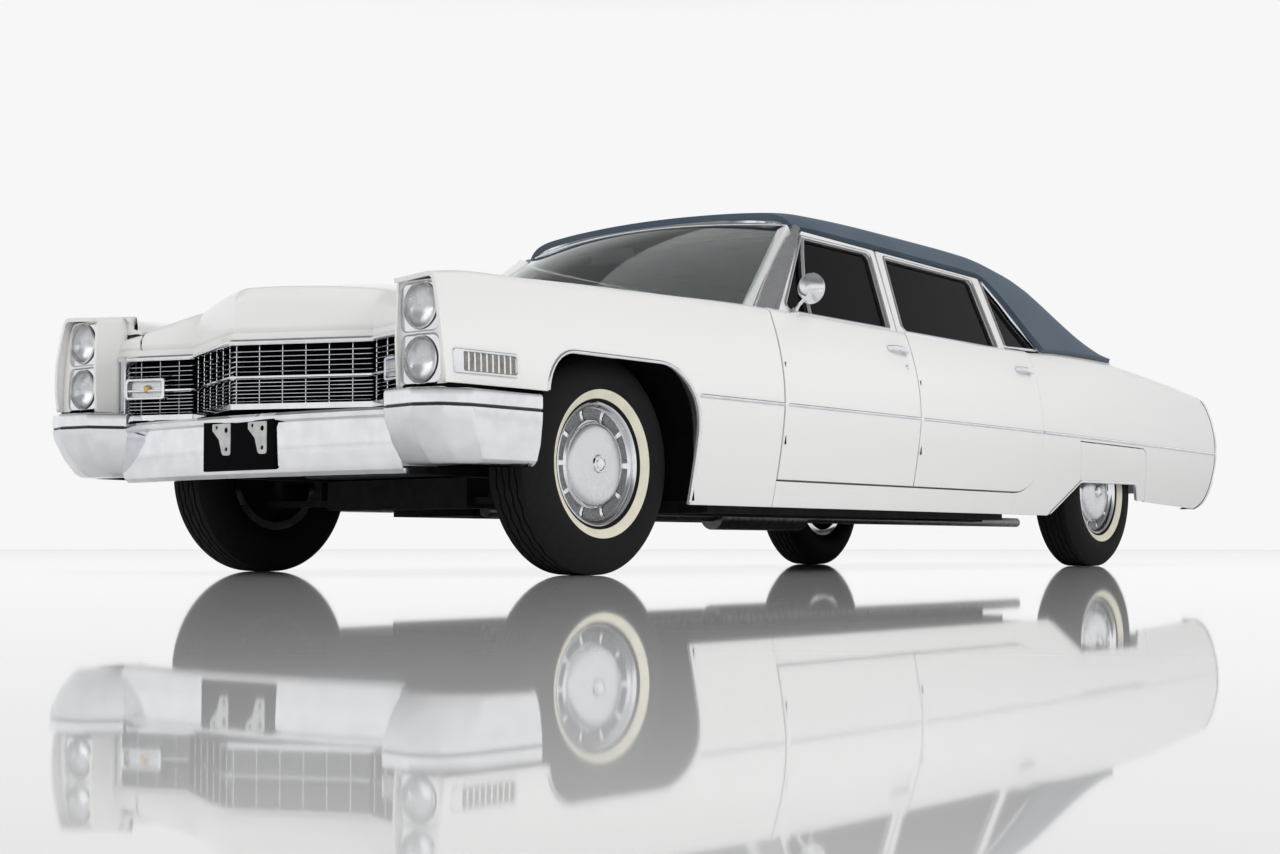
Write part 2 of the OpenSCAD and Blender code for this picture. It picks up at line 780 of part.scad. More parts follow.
QUARTER_PANE = [
    [-524, up(979)], [-592, up(1290)], [-606, up(1290)], [-691, up(1192)], [-740, up(1116)], [-846, up(1000)],
    [-846, up(994)]
];

module quarter_glass() {
    color([0.10, 0.10, 0.12])
    both_sides()
    on_side(10) linear_extrude(glass_t) polygon(QUARTER_PANE);
}

function mid_of(pts) = [for (c = [0, 1]) ([for (p = pts) p[c]] * [for (p = pts) 1]) / len(pts)];

function hood_z(x, y) =
    let (c = column(HOOD, 1, x), e = column(HOOD, 2, x)) c - (c - e) * pow(abs(y) / hood_hw, 2);

function hood_row(y, d) =
    let (front = nose_x(y))
    concat(
        [for (x = [hood_rear, 2100, 2540]) [x, y, hood_z(x, y) - d]],
        [
            [front - 130, y, hood_z(front - 130, y) - d],
            [front - 60 - d / 2, y, hood_z(front - 60, y) - d],
            [front - 12 - d, y, hood_z(front - 60, y) - 50],
            [front - d, y, 757]
        ]
    );

module hood() {
    color([0.92, 0.92, 0.90])
    difference() {
        slab(
            [for (y = [hood_hw, 444, 220, 0, -220, -444, -hood_hw]) hood_row(y, 0)],
            [for (y = [hood_hw, 444, 220, 0, -220, -444, -hood_hw]) hood_row(y, panel_t)]
        );
        both_sides() {
            translate([hood_axis_x, hood_axis_y - 29, hood_axis_z]) rotate([-90, 0, 0]) cylinder(h = 58, r = pin_r + fit);
            box([hood_axis_x - 36, hood_axis_y - 15, 880], [hood_axis_x + 13, hood_axis_y + 15, hood_axis_z + 7]);
        }
    }
}

function lid_z(x, y) = column(BODY, Z_TOP, x) + 4 - 14 * pow(y / lid_hw, 2);

module trunk_lid() {
    color([0.92, 0.92, 0.90])
    difference() {
        slab(
            [for (y = steps(lid_hw, -lid_hw, 6)) [for (x = [lid_front, -2200, -2600, lid_rear]) [x, y, lid_z(x, y)]]],
            [for (y = steps(lid_hw, -lid_hw, 6)) [for (x = [lid_front, -2200, -2600, lid_rear]) [x, y, lid_z(x, y) - panel_t]]]
        );
        both_sides() {
            translate([lid_axis_x, lid_axis_y - 29, lid_axis_z]) rotate([-90, 0, 0]) cylinder(h = 58, r = pin_r + fit);
            box([lid_axis_x - 13, lid_axis_y - 15, 880], [lid_front + 1, lid_axis_y + 15, lid_axis_z + 7]);
        }
    }
}

module exhaust() {
    color([0.30, 0.30, 0.31])
    union() {
        translate([-2900, -250, 235]) rotate([0, 90, 0]) cylinder(h = 4500, r = 26);
        translate([-600, -250, 235]) rotate([0, 90, 0]) cylinder(h = 700, r = 64);
        for (x = [700, -1000]) box([x, -350, 226], [x + 30, -250, 240]);
    }
}

module fuel_tank() {
    color([0.12, 0.12, 0.13])
    box([-2780, -340, 330], [-2060, 340, 602]);
}

module dashboard() {
    color([0.10, 0.11, 0.14])
    box([1330, -795, 760], [firewall_x - firewall_t, 795, 868]);
}

module steering_wheel() {
    color([0.08, 0.08, 0.09])
    union() {
        translate([1060, 380, 850]) rotate([0, 115, 0]) {
            rotate_extrude() translate([195, 0]) circle(r = 12, $fn = 24);
            box([-195, -14, -8], [195, 14, 8]);
            cylinder(h = 400, r = 22);
        }
        box([1370, 366, 690], [1400, 394, 760]);
    }
}

module front_seat() {
    color([0.16, 0.18, 0.24])
    union() {
        box([420, -740, 480], [1000, 740, 640]);
        box([300, -740, 500], [460, 740, 1040]);
    }
}

module rear_seat() {
    color([0.16, 0.18, 0.24])
    union() {
        box([-1100, -740, 480], [-500, 740, 640]);
        box([-1100, -740, 500], [-900, 740, 1040]);
    }
}

frame();
floor_pan();
sills();
cowl();
center_posts();
front_fenders();
rear_quarters();
fender_skirts();
tail_panel();
roof();
windshield();
rear_window();
quarter_glass();
grille();
headlamp_bezels();
headlamps();
signal_lamps();
front_bumper();
rear_bumper();
tail_lamps();
engine();
driveline();
rear_axle();
front_suspension();
exhaust();
fuel_tank();
dashboard();
steering_wheel();
front_seat();
rear_seat();
hinges();
hood();
trunk_lid();
door_front();  // door_front_left
mirror([0, 1, 0]) door_front();  // door_front_right
door_rear();  // door_rear_left
mirror([0, 1, 0]) door_rear();  // door_rear_right
pane(FRONT_PANE);  // glass_front_left
mirror([0, 1, 0]) pane(FRONT_PANE);  // glass_front_right
pane(REAR_PANE);  // glass_rear_left
mirror([0, 1, 0]) pane(REAR_PANE);  // glass_rear_right
knuckle();  // knuckle_left
mirror([0, 1, 0]) knuckle();  // knuckle_right
at_wheel(axle_f, 1) wheel();  // wheel_front_left
at_wheel(axle_f, -1) wheel();  // wheel_front_right
at_wheel(axle_r, 1) wheel();  // wheel_rear_left
at_wheel(axle_r, -1) wheel();  // wheel_rear_right
at_wheel(axle_f, 1) tyre();  // tyre_front_left
at_wheel(axle_f, -1) tyre();  // tyre_front_right
at_wheel(axle_r, 1) tyre();  // tyre_rear_left
at_wheel(axle_r, -1) tyre();  // tyre_rear_right
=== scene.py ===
import math
from bisect import bisect_right

import bmesh
import bpy
import numpy as np
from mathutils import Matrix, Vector
from mathutils.geometry import delaunay_2d_cdt


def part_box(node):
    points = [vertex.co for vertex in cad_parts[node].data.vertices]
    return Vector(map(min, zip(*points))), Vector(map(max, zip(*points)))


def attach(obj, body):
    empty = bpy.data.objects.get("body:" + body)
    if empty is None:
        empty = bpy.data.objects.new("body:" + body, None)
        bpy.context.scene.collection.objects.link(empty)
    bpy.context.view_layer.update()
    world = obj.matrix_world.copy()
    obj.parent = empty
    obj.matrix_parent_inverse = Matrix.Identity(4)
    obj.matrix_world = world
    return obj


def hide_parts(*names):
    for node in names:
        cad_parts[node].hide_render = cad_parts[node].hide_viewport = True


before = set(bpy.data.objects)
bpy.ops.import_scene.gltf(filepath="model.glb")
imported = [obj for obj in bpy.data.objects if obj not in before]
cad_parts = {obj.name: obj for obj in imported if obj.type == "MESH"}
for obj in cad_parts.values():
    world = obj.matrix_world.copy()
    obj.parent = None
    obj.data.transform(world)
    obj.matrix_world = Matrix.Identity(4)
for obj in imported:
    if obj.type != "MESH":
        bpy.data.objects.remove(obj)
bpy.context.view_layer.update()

# Sizes are in millimetres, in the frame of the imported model: X forward, Y left, Z up
MM = 0.001
SIDES = {"left": 1, "right": -1}
AHEAD = Vector((1, 0, 0))
LEFT = Vector((0, 1, 0))


def middle(node):
    low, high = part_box(node)
    return [(a + b) / 2 / MM for a, b in zip(low, high)]


AXLE_F, WHEEL_Y, HUB_Z = middle("tyre_front_left")
AXLE_R = middle("tyre_rear_left")[0]

TRIM_Z = 604
SILL_Z = 235
DOOR_Z = 335
DOOR_A = 1373
DOOR_B = 410
DOOR_C = -690
SHUT_GAP = 7
BELT_Z = 962
SIDE_LEAN = math.radians(27)
FRAME_Y = 915
HOOD_HW = 655
HOOD_REAR = 1655
LID_HW = 640
LID_FRONT = -1806
LID_REAR = -2945
SHOULDER_R = 30
COWL_HW = 866
SKIN_PROUD = 1.5

# Body side: place, half width at the trim line, at the sill and at the shoulder, shoulder height
BODY = [
    [-3090, 880, 838, 842, 895],
    [-2960, 888, 845, 846, 909],
    [-2567, 915, 866, 864, 941],
    [-2172, 942, 888, 878, 966],
    [-1862, 960, 905, 889, 984],
    [-1400, 984, 928, 906, 998],
    [-938, 1002, 944, 922, 985],
    [-690, 1008, 950, 930, 970],
    [410, 1014, 955, 940, 957],
    [1373, 1010, 952, 938, 958],
    [2255, 995, 940, 930, 934],
    [2665, 985, 932, 926, 921],
    [2889, 974, 922, 918, 915],
    [3070, 960, 915, 910, 895],
]

# Roof: place, height at the centre, height and half width of the shoulder, base height and half width
ROOF = [
    [-1690, 1035, 1010, 735, 998, 876],
    [-1450, 1180, 1135, 722, 1001, 888],
    [-1118, 1375, 1322, 678, 998, 898],
    [-860, 1430, 1378, 664, 986, 908],
    [-740, 1444, 1392, 664, 976, 912],
    [-630, 1450, 1398, 668, 970, 914],
    [-300, 1455, 1402, 672, 964, 915],
    [250, 1460, 1402, 674, 962, 915],
    [700, 1446, 1394, 668, 962, 915],
    [960, 1404, 1366, 640, 962, 915],
]

# Hood: place, height at the centre and at the side edge
HOOD = [
    [1655, 1000, 942],
    [2100, 1006, 920],
    [2540, 988, 892],
    [2760, 962, 868],
    [2900, 942, 848],
    [3041, 925, 838],
]


def spread(start, end, n):
    """Evenly spaced values from start to end, in n steps."""
    return [start + (end - start) * k / n for k in range(n + 1)]


def curve(points):
    """Smooth function through (place, value) points that keeps within neighbouring values."""
    xs = [p[0] for p in points]
    ys = [p[1] for p in points]
    gaps = [b - a for a, b in zip(xs, xs[1:])]
    rises = [(b - a) / gap for a, b, gap in zip(ys, ys[1:], gaps)]
    slopes = [rises[0]]
    for a, b in zip(rises, rises[1:]):
        slopes.append(0 if a * b <= 0 else 2 * a * b / (a + b))
    slopes.append(rises[-1])

    def value(x):
        x = min(max(x, xs[0]), xs[-1])
        i = min(bisect_right(xs, x) - 1, len(gaps) - 1)
        t = (x - xs[i]) / gaps[i]
        ends = ys[i] * (1 + 2 * t) * (1 - t) ** 2 + ys[i + 1] * t * t * (3 - 2 * t)
        return ends + gaps[i] * t * (1 - t) * (slopes[i] * (1 - t) - slopes[i + 1] * t)

    return value


def columns(table):
    return [curve([(row[0], row[c]) for row in table]) for c in range(1, len(table[0]))]


wide, sill_y, top_y, top_z = columns(BODY)
roof_mid, roof_sh_z, roof_sh_y, roof_base_z, roof_base_y = columns(ROOF)
hood_mid, hood_edge = columns(HOOD)


def side_y(x, z):
    """Half width of the body side at a place and a height."""
    if z < TRIM_Z:
        return wide(x) - (wide(x) - sill_y(x)) * ((TRIM_Z - z) / (TRIM_Z - SILL_Z)) ** 1.4
    return wide(x) - (wide(x) - top_y(x)) * ((z - TRIM_Z) / (top_z(x) - TRIM_Z)) ** 2


def nose_x(y):
    """Plan line of the grille and hood lip: a prow with a kink on each side."""
    y = abs(y)
    return 3041 - 195 * y / 444 if y < 444 else 2846 + 89 * (y - 444) / 276


def on_nose(out):
    """Upright surface at a distance ahead of that plan line."""
    return lambda y, z: Vector((nose_x(y) + out, y, z))


def hood_z(x, y):
    return hood_mid(x) - (hood_mid(x) - hood_edge(x)) * (abs(y) / HOOD_HW) ** 1.8


def lid_z(x, y):
    return top_z(x) + 4 - 14 * (y / LID_HW) ** 2


def rail_z(x):
    """Height of the upper edge of the door frames."""
    return 1322 + 18 * (x - DOOR_B) / 1000


def inner_edge(x):
    """Half width and height of the inner edge of the fender, door or quarter at a place."""
    if x > nose_x(HOOD_HW):
        return 745, top_z(x) - 10
    if x > HOOD_REAR - 4:
        return HOOD_HW + SHUT_GAP, hood_edge(x)
    if x > DOOR_A:
        return 872, 948
    if x > DOOR_C - 4:
        return FRAME_Y + 6, top_z(x) + 1
    if x > LID_FRONT + 8:
        return 846, top_z(x) + 2
    return LID_HW + SHUT_GAP, lid_z(x, LID_HW)


shoulders = {}


def shoulder(x):
    """Start height and angle of the rounded shoulder, its end angle, and the length inboard of it."""
    key = round(x, 2)
    if key not in shoulders:
        y_in, z_in = inner_edge(x)
        low = top_z(x) - SHOULDER_R * 0.65
        lean = math.atan((side_y(x, low - 1) - side_y(x, low + 1)) / 2)
        start = top_z(x) - SHOULDER_R * (1 - math.sin(lean))
        y0 = side_y(x, start)
        end = math.pi / 2
        for _ in range(6):
            y1 = y0 + SHOULDER_R * (math.cos(end) - math.cos(lean))
            z1 = start + SHOULDER_R * (math.sin(end) - math.sin(lean))
            end = math.atan2(y1 - y_in, z_in - z1)
        shoulders[key] = start, y0, lean, end, math.hypot(y1 - y_in, z_in - z1)
    return shoulders[key]


def top_v(x):
    """Panel coordinate of the inner edge at a place."""
    start, _, lean, end, inboard = shoulder(x)
    return start + SHOULDER_R * (end - lean) + inboard


def body_side(x, v):
    """Point of the body side: v is the height, then the distance over the shoulder."""
    start, y0, lean, end, _ = shoulder(x)
    if v <= start:
        return Vector((x, side_y(x, v), v))
    angle = min(lean + (v - start) / SHOULDER_R, end)
    over = v - start - SHOULDER_R * (angle - lean)
    y = y0 + SHOULDER_R * (math.cos(angle) - math.cos(lean)) - over * math.sin(angle)
    z = start + SHOULDER_R * (math.sin(angle) - math.sin(lean)) + over * math.cos(angle)
    return Vector((x, y, z))


def spline(points, n=8, closed=False):
    """Points along a smooth curve through the given points."""
    p = [Vector(q) for q in points]
    count = len(p)
    out = []
    for i in range(count if closed else count - 1):
        b, c = p[i], p[(i + 1) % count]
        a = p[i - 1] if closed or i else b
        d = p[(i + 2) % count] if closed or i + 2 < count else c
        for k in range(n):
            t = k / n
            bend = (2 * a - 5 * b + 4 * c - d) * t * t + (3 * b - a - 3 * c + d) * t ** 3
            out.append(b + ((c - a) * t + bend) / 2)
    return out if closed else out + [p[-1]]


def rounded(corners, n=6):
    """Closed outline with corners (across, up, radius)."""
    out = []
    for i, (x, y, r) in enumerate(corners):
        p = Vector((x, y))
        a = (Vector(corners[i - 1][:2]) - p).normalized()
        b = (Vector(corners[(i + 1) % len(corners)][:2]) - p).normalized()
        if not r:
            out.append(p)
            continue
        half = a.angle(b) / 2
        centre = p + (a + b).normalized() * r / math.sin(half)
        start = p + a * r / math.tan(half) - centre
        end = p + b * r / math.tan(half) - centre
        out += [centre + (start * (n - k) + end * k).normalized() * r for k in range(n + 1)]
    return out


def ring(cx, cy, r, n=32):
    turns = [k * math.tau / n for k in range(n)]
    return [Vector((cx + r * math.cos(a), cy + r * math.sin(a))) for a in turns]


def along(points, step):
    """The open line with no part longer than step."""
    points = [Vector(p) for p in points]
    out = []
    for a, b in zip(points, points[1:]):
        n = max(1, math.ceil((b - a).length / step))
        out += [a.lerp(b, k / n) for k in range(n)]
    return out + points[-1:]


def dense(outline, step):
    """The closed outline with no edge longer than step, and no tiny one."""
    out = along(outline + outline[:1], step)[:-1]
    return [p for p, q in zip(out, out[1:] + out[:1]) if (p - q).length > 0.05]


def area(outline):
    return sum(a.x * b.y - b.x * a.y for a, b in zip(outline, outline[1:] + outline[:1])) / 2


def left_normals(loop):
    """For each corner of a closed outline, the step to the left that keeps its edges parallel."""
    out = []
    for a, b, c in zip(loop[-1:] + loop[:-1], loop, loop[1:] + loop[:1]):
        n1 = (b - a).normalized().orthogonal()
        n2 = (c - b).normalized().orthogonal()
        both = n1 + n2
        out.append(both * 2 / max(both.length_squared, 1))
    return out


def inside(points, loops):
    """Even and odd test of many points against closed outlines."""
    hit = np.zeros(len(points), bool)
    px, py = points[:, 0], points[:, 1]
    for loop in loops:
        q = np.array([(p.x, p.y) for p in loop])
        for (x0, y0), (x1, y1) in zip(q, np.roll(q, -1, axis=0)):
            crosses = (y0 > py) != (y1 > py)
            if crosses.any():
                hit ^= crosses & (px < (x1 - x0) * (py - y0) / (y1 - y0 + 1e-12) + x0)
    return hit


def surface_normal(surface, u, v, reach):
    """Unit normal of a surface, from points at a small reach around a place on it."""
    across = surface(u + reach, v) - surface(u - reach, v)
    up = surface(u, v + reach) - surface(u, v - reach)
    return across.cross(up).normalized()


def add(name, points, faces, material, body, normals=None, side=1, angle=40, nodes=(), marks=()):
    """A mesh piece that rides on a body. side -1 mirrors it to the right."""
    mesh = bpy.data.meshes.new(name)
    places = [(p[0] * MM, p[1] * side * MM, p[2] * MM) for p in points]
    mesh.from_pydata(places, [], [f[::side] for f in faces])
    mesh.validate()
    mesh.shade_smooth()
    if normals:
        mesh.normals_split_custom_set_from_vertices([(n[0], n[1] * side, n[2]) for n in normals])
    else:
        skin = bmesh.new()
        skin.from_mesh(mesh)
        bmesh.ops.recalc_face_normals(skin, faces=skin.faces)
        skin.to_mesh(mesh)
        skin.free()
        mesh.set_sharp_from_angle(angle=math.radians(angle))
    for m in material if isinstance(material, list) else [material]:
        mesh.materials.append(m)
    for polygon, mark in zip(mesh.polygons, marks):
        polygon.material_index = mark
    obj = bpy.data.objects.new(name, mesh)
    bpy.context.scene.collection.objects.link(obj)
    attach(obj, body)
    if nodes:
        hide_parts(*nodes)
    return obj


def panel(name, outline, surface, material, body, holes=(), step=32, rim=2.5, depth=14, out=1, proud=0,
          **more):
    """A sheet panel cut from a surface, with a rolled edge and an inner skin."""
    loops = []
    for k, loop in enumerate([outline, *holes]):
        loop = [Vector(p[:2]) for p in loop]
        if (area(loop) > 0) == bool(k):
            loop = loop[::-1]
        loops.append(dense(loop, step / 2))
    edge, away = [], []
    for loop in loops:
        for p, n in zip(loop, left_normals(loop)):
            edge.append(p + n * rim)
            away.append(-n)
    starts = np.cumsum([0] + [len(loop) for loop in loops])
    borders = [(a + i, a + (i + 1) % (b - a)) for a, b in zip(starts, starts[1:]) for i in range(b - a)]
    inner = [edge[a:b] for a, b in zip(starts, starts[1:])]
    low = np.min([(p.x, p.y) for p in inner[0]], axis=0)
    high = np.max([(p.x, p.y) for p in inner[0]], axis=0)
    us = np.arange(low[0] + step / 2, high[0], step)
    vs = np.arange(low[1] + step / 2, high[1], step * 0.8)
    grid = np.array([(u, v) for u in us for v in vs]).reshape(-1, 2)
    if len(grid):
        grid = grid[inside(grid, inner)]
    rims = np.array([(p.x, p.y) for p in edge])
    grid = [p for p in grid if np.hypot(*(rims - p).T).min() > step * 0.42]
    flat = [Vector((p[0], p[1])) for p in edge + grid]
    verts, _, tris, origins, _, _ = delaunay_2d_cdt(flat, [tuple(map(int, b)) for b in borders], [], 0, 1e-3)
    centres = np.array([sum((verts[i] for i in t), Vector((0, 0))) / 3 for t in tris])
    tris = [tuple(t) for t, keep in zip(tris, inside(centres, inner)) if keep]
    place = {}
    for i, names in enumerate(origins):
        for n in names:
            place[n] = i

    def point(uv):
        return surface(uv[0], uv[1])

    face_normals = [surface_normal(surface, *v, 1.5) * out for v in verts]
    points = [point(v) + n * proud for v, n in zip(verts, face_normals)]
    normals = list(face_normals)
    faces = list(tris)
    rows = [[place[i] for i in range(len(edge))]]
    for turn in (35, 70, 90, 90):
        a = math.radians(turn)
        last = len(rows) == 4
        row = []
        for i, (p, n2) in enumerate(zip(edge, away)):
            n = face_normals[place[i]]
            drop = depth if last else rim * (1 - math.cos(a))
            q = point(p + n2 * rim * math.sin(a))
            row.append(len(points))
            points.append(q + n * (proud - drop))
            normals.append((n * math.cos(a) + (q - point(p)).normalized() * math.sin(a)).normalized())
        rows.append(row)
    for a, b in zip(rows, rows[1:]):
        for i, j in borders:
            faces.append((a[j], a[i], b[i], b[j]))
    back = len(points)
    for v, n in zip(verts, face_normals):
        points.append(point(v) + n * (proud - depth))
        normals.append(-n)
    for i in range(len(edge)):
        points[back + place[i]] = points[rows[-1][i]]
    faces += [tuple(back + i for i in t[::-1]) for t in tris]
    if out < 0:
        faces = [f[::-1] for f in faces]
    return add(name, points, faces, material, body, normals=normals, **more)


def quads(rows, size, around=False, across=False):
    """Faces of rows of points, where the last row may join the first, and each row may close on itself."""
    faces = []
    for i in range(rows if around else rows - 1):
        a, b = i * size, (i + 1) % rows * size
        for j in range(size if across else size - 1):
            k = (j + 1) % size
            faces.append((a + j, a + k, b + k, b + j))
    return faces


def sweep_mesh(path, profile, normals, closed=False):
    """A profile (across, out) carried along a path, with one normal or one for each point."""
    count, size = len(path), len(profile)
    if isinstance(normals, Vector):
        normals = [normals] * count
    points = []
    for i, p in enumerate(path):
        before = path[i - 1] if closed or i else p
        after = path[(i + 1) % count] if closed or i + 1 < count else p
        ahead = (after - before).normalized()
        up = (normals[i] - ahead * normals[i].dot(ahead)).normalized()
        across = ahead.cross(up)
        points += [p + across * a + up * b for a, b in profile]
    faces = [(a, d, c, b) for a, b, c, d in quads(count, size, closed, True)]
    if not closed:
        faces += [tuple(range(size)), tuple(range((count - 1) * size, count * size))[::-1]]
    return points, faces


def sweep(name, path, profile, normals, material, body, closed=False, **more):
    return add(name, *sweep_mesh(path, profile, normals, closed), material, body, **more)


def bead(width, height, n=5):
    """Half round trim profile that stands on a surface."""
    arc = [(width / 2 * math.cos(math.pi * k / n), height * math.sin(math.pi * k / n)) for k in range(n + 1)]
    return [(width / 2, -1)] + arc + [(-width / 2, -1)]


def trim(name, uvs, surface, width, height, material, body, out=1, **more):
    """Half round trim along a line on a surface."""
    path = [surface(u, v) for u, v in uvs]
    normals = [surface_normal(surface, u, v, 1) * out for u, v in uvs]
    return sweep(name, path, bead(width, height), normals, material, body, **more)


def stack_mesh(outline, levels, place):
    """A closed outline offset at each level (height, inset); place maps (across, along, height) to space."""
    loop = outline if area(outline) > 0 else outline[::-1]
    steps = left_normals(loop)
    n = len(loop)
    points = [place(*(p + s * inset), h) for h, inset in levels for p, s in zip(loop, steps)]
    ends = [tuple(range(n))[::-1], tuple(range((len(levels) - 1) * n, len(levels) * n))]
    return points, ends + quads(len(levels), n, across=True)


def stack(name, outline, levels, material, body, place=lambda x, y, z: Vector((x, y, z)), **more):
    points, faces = stack_mesh([Vector(p[:2]) for p in outline], levels, place)
    return add(name, points, faces, material, body, **more)


def block(name, low, high, material, body, edge=4, **more):
    """A box with eased edges."""
    (x0, y0, z0), (x1, y1, z1) = low, high
    outline = rounded([(x0, y0, edge), (x1, y0, edge), (x1, y1, edge), (x0, y1, edge)], 3)
    ease = edge * 0.3
    levels = [(z0, edge), (z0 + ease, ease), (z0 + edge, 0), (z1 - edge, 0), (z1 - ease, ease), (z1, edge)]
    return stack(name, outline, levels, material, body, **more)


def loft_mesh(rows):
    """Points and faces of a surface through rows of points."""
    return [p for row in rows for p in row], quads(len(rows), len(rows[0]))


def loft(name, rows, material, body, **more):
    return add(name, *loft_mesh(rows), material, body, **more)


def lathe_mesh(profile, centre, n=64, axis="y"):
    """Points and faces of a profile (radius, out) turned about an axis through a centre."""
    points = []
    for k in range(n):
        c, s = math.cos(k * math.tau / n), math.sin(k * math.tau / n)
        for r, h in profile:
            turned = (r * c, h, r * s) if axis == "y" else (h, r * c, r * s)
            points.append(Vector(centre) + Vector(turned))
    faces = quads(n, len(profile), around=True)
    return points, faces if axis == "y" else [f[::-1] for f in faces]


def lathe(name, profile, centre, material, body, n=64, axis="y", **more):
    return add(name, *lathe_mesh(profile, centre, n, axis), material, body, **more)


def shell(name, outer, inner, material, body, **more):
    """A closed shell between two grids of points."""
    m, n = len(outer), len(outer[0])
    points = [p for r in outer for p in r] + [p for r in inner for p in r]
    o = m * n
    faces = []
    for a, b, c, d in quads(m, n):
        faces += [(a, b, c, d), (o + a, o + d, o + c, o + b)]
    rim = [i * n for i in range(m)] + [(m - 1) * n + j for j in range(1, n)]
    rim += [i * n + n - 1 for i in range(m - 2, -1, -1)] + [j for j in range(n - 2, 0, -1)]
    for a, b in zip(rim, rim[1:] + rim[:1]):
        faces.append((a, b, o + b, o + a))
    return add(name, points, faces, material, body, **more)


def sheet(name, rows, step, material, body, **more):
    """A shell whose second side is the first one moved by a step."""
    moved = [[p + Vector(step) for p in row] for row in rows]
    return shell(name, rows, moved, material, body, **more)


def merged(meshes):
    """Points and faces of several meshes as one."""
    points, faces = [], []
    for more_points, more_faces in meshes:
        faces += [tuple(i + len(points) for i in f) for f in more_faces]
        points += more_points
    return points, faces


def pair(make, name, *shape, body="body", nodes=(), **more):
    """The same piece on both sides of the car. The left one takes the place of the frame's nodes."""
    for side, s in SIDES.items():
        owner = body if body == "body" else f"{body}_{side}"
        make(f"{name}_{side}", *shape, owner, side=s, nodes=nodes if s > 0 else (), **more)


def plug(tree, node, **sockets):
    """Sets sockets of a shader node, and links those that are given as another node's output."""
    for key, value in sockets.items():
        socket = node.inputs[key.replace("_", " ")]
        if isinstance(value, bpy.types.NodeSocket):
            tree.links.new(value, socket)
        else:
            socket.default_value = value


def shader(tree, kind, **sockets):
    node = tree.nodes.new(f"ShaderNode{kind}")
    plug(tree, node, **sockets)
    return node


def dress(m, **sockets):
    """Sets or links sockets of a material's main shader."""
    plug(m.node_tree, m.node_tree.nodes["Principled BSDF"], **sockets)


def material(name, slot, color, roughness, **sockets):
    """A principled material. The slot of the record that it is given is not used."""
    m = bpy.data.materials.new(name)
    m.use_nodes = True
    dress(m, Base_Color=(*color, 1), Roughness=roughness, **sockets)
    return m


def texture(m, kind, scale, stretch=(1, 1, 1), **sockets):
    """A procedural texture in object space."""
    place = shader(m.node_tree, "TexCoord")
    size = shader(m.node_tree, "Mapping", Vector=place.outputs["Object"], Scale=stretch)
    node = shader(m.node_tree, f"Tex{kind}", Vector=size.outputs["Vector"], Scale=scale, **sockets)
    return node.outputs["Distance" if kind == "Voronoi" else 0]


def vary_roughness(m, value, low, high):
    span = shader(m.node_tree, "MapRange", Value=value, From_Min=0.3, From_Max=0.7, To_Min=low, To_Max=high)
    dress(m, Roughness=span.outputs["Result"])


def tint(m, value, first, second):
    """Mixes two base colours by a texture."""
    ramp = shader(m.node_tree, "ValToRGB", Fac=value)
    for element, position, color in zip(ramp.color_ramp.elements, (0.35, 0.65), (first, second)):
        element.position = position
        element.color = (*color, 1)
    dress(m, Base_Color=ramp.outputs["Color"])


def bump(m, value, strength, distance):
    relief = shader(m.node_tree, "Bump", Height=value, Strength=strength, Distance=distance)
    dress(m, Normal=relief.outputs["Normal"])


def make_paint():
    m = material("paint_white", "paint", (0.83, 0.83, 0.815), 0.28, Coat_Weight=0.7, Coat_Roughness=0.04)
    peel = texture(m, "Noise", 220.0, Detail=1)
    bump(m, peel, 0.04, 0.0004)
    cloud = texture(m, "Noise", 0.8, Detail=1)
    tint(m, cloud, (0.826, 0.826, 0.810), (0.834, 0.834, 0.820))
    return m


def make_chrome():
    m = material("chrome_bright", "chrome", (0.80, 0.81, 0.83), 0.06, Metallic=1.0)
    haze = texture(m, "Noise", 14.0, Detail=6)
    tint(m, haze, (0.74, 0.755, 0.785), (0.84, 0.85, 0.865))
    vary_roughness(m, haze, 0.04, 0.12)
    return m


def make_vinyl():
    m = material("vinyl_slate", "vinyl", (0.075, 0.105, 0.14), 0.55, Specular_IOR_Level=0.35)
    grain = texture(m, "Voronoi", 420.0)
    bump(m, grain, 0.35, 0.0006)
    patch = texture(m, "Noise", 5.0, Detail=5)
    tint(m, patch, (0.066, 0.094, 0.128), (0.086, 0.117, 0.153))
    vary_roughness(m, patch, 0.48, 0.62)
    return m


def make_plain(name, slot, color, roughness, contrast=0.2, scale=30.0, relief=0.0, **sockets):
    """A coloured material with cloudy variation, and relief in metres where given."""
    m = material(name, slot, color, roughness, **sockets)
    cloud = texture(m, "Noise", scale, Detail=5)
    tint(m, cloud, [c * (1 - contrast) for c in color], [min(1, c * (1 + contrast)) for c in color])
    vary_roughness(m, cloud, max(0.02, roughness - 0.07), roughness + 0.07)
    if relief:
        bump(m, cloud, 0.5, relief)
    return m


def make_glass(name, slot, color, transmission, **sockets):
    m = material(name, slot, color, 0.02, Transmission_Weight=transmission, IOR=1.45, **sockets)
    film = texture(m, "Noise", 6.0, Detail=3)
    vary_roughness(m, film, 0.0, 0.04)
    return m


def make_metal(name, slot, color, roughness, contrast, scale, relief=0.0, metallic=1.0):
    return make_plain(name, slot, color, roughness, contrast, scale, relief, Metallic=metallic)


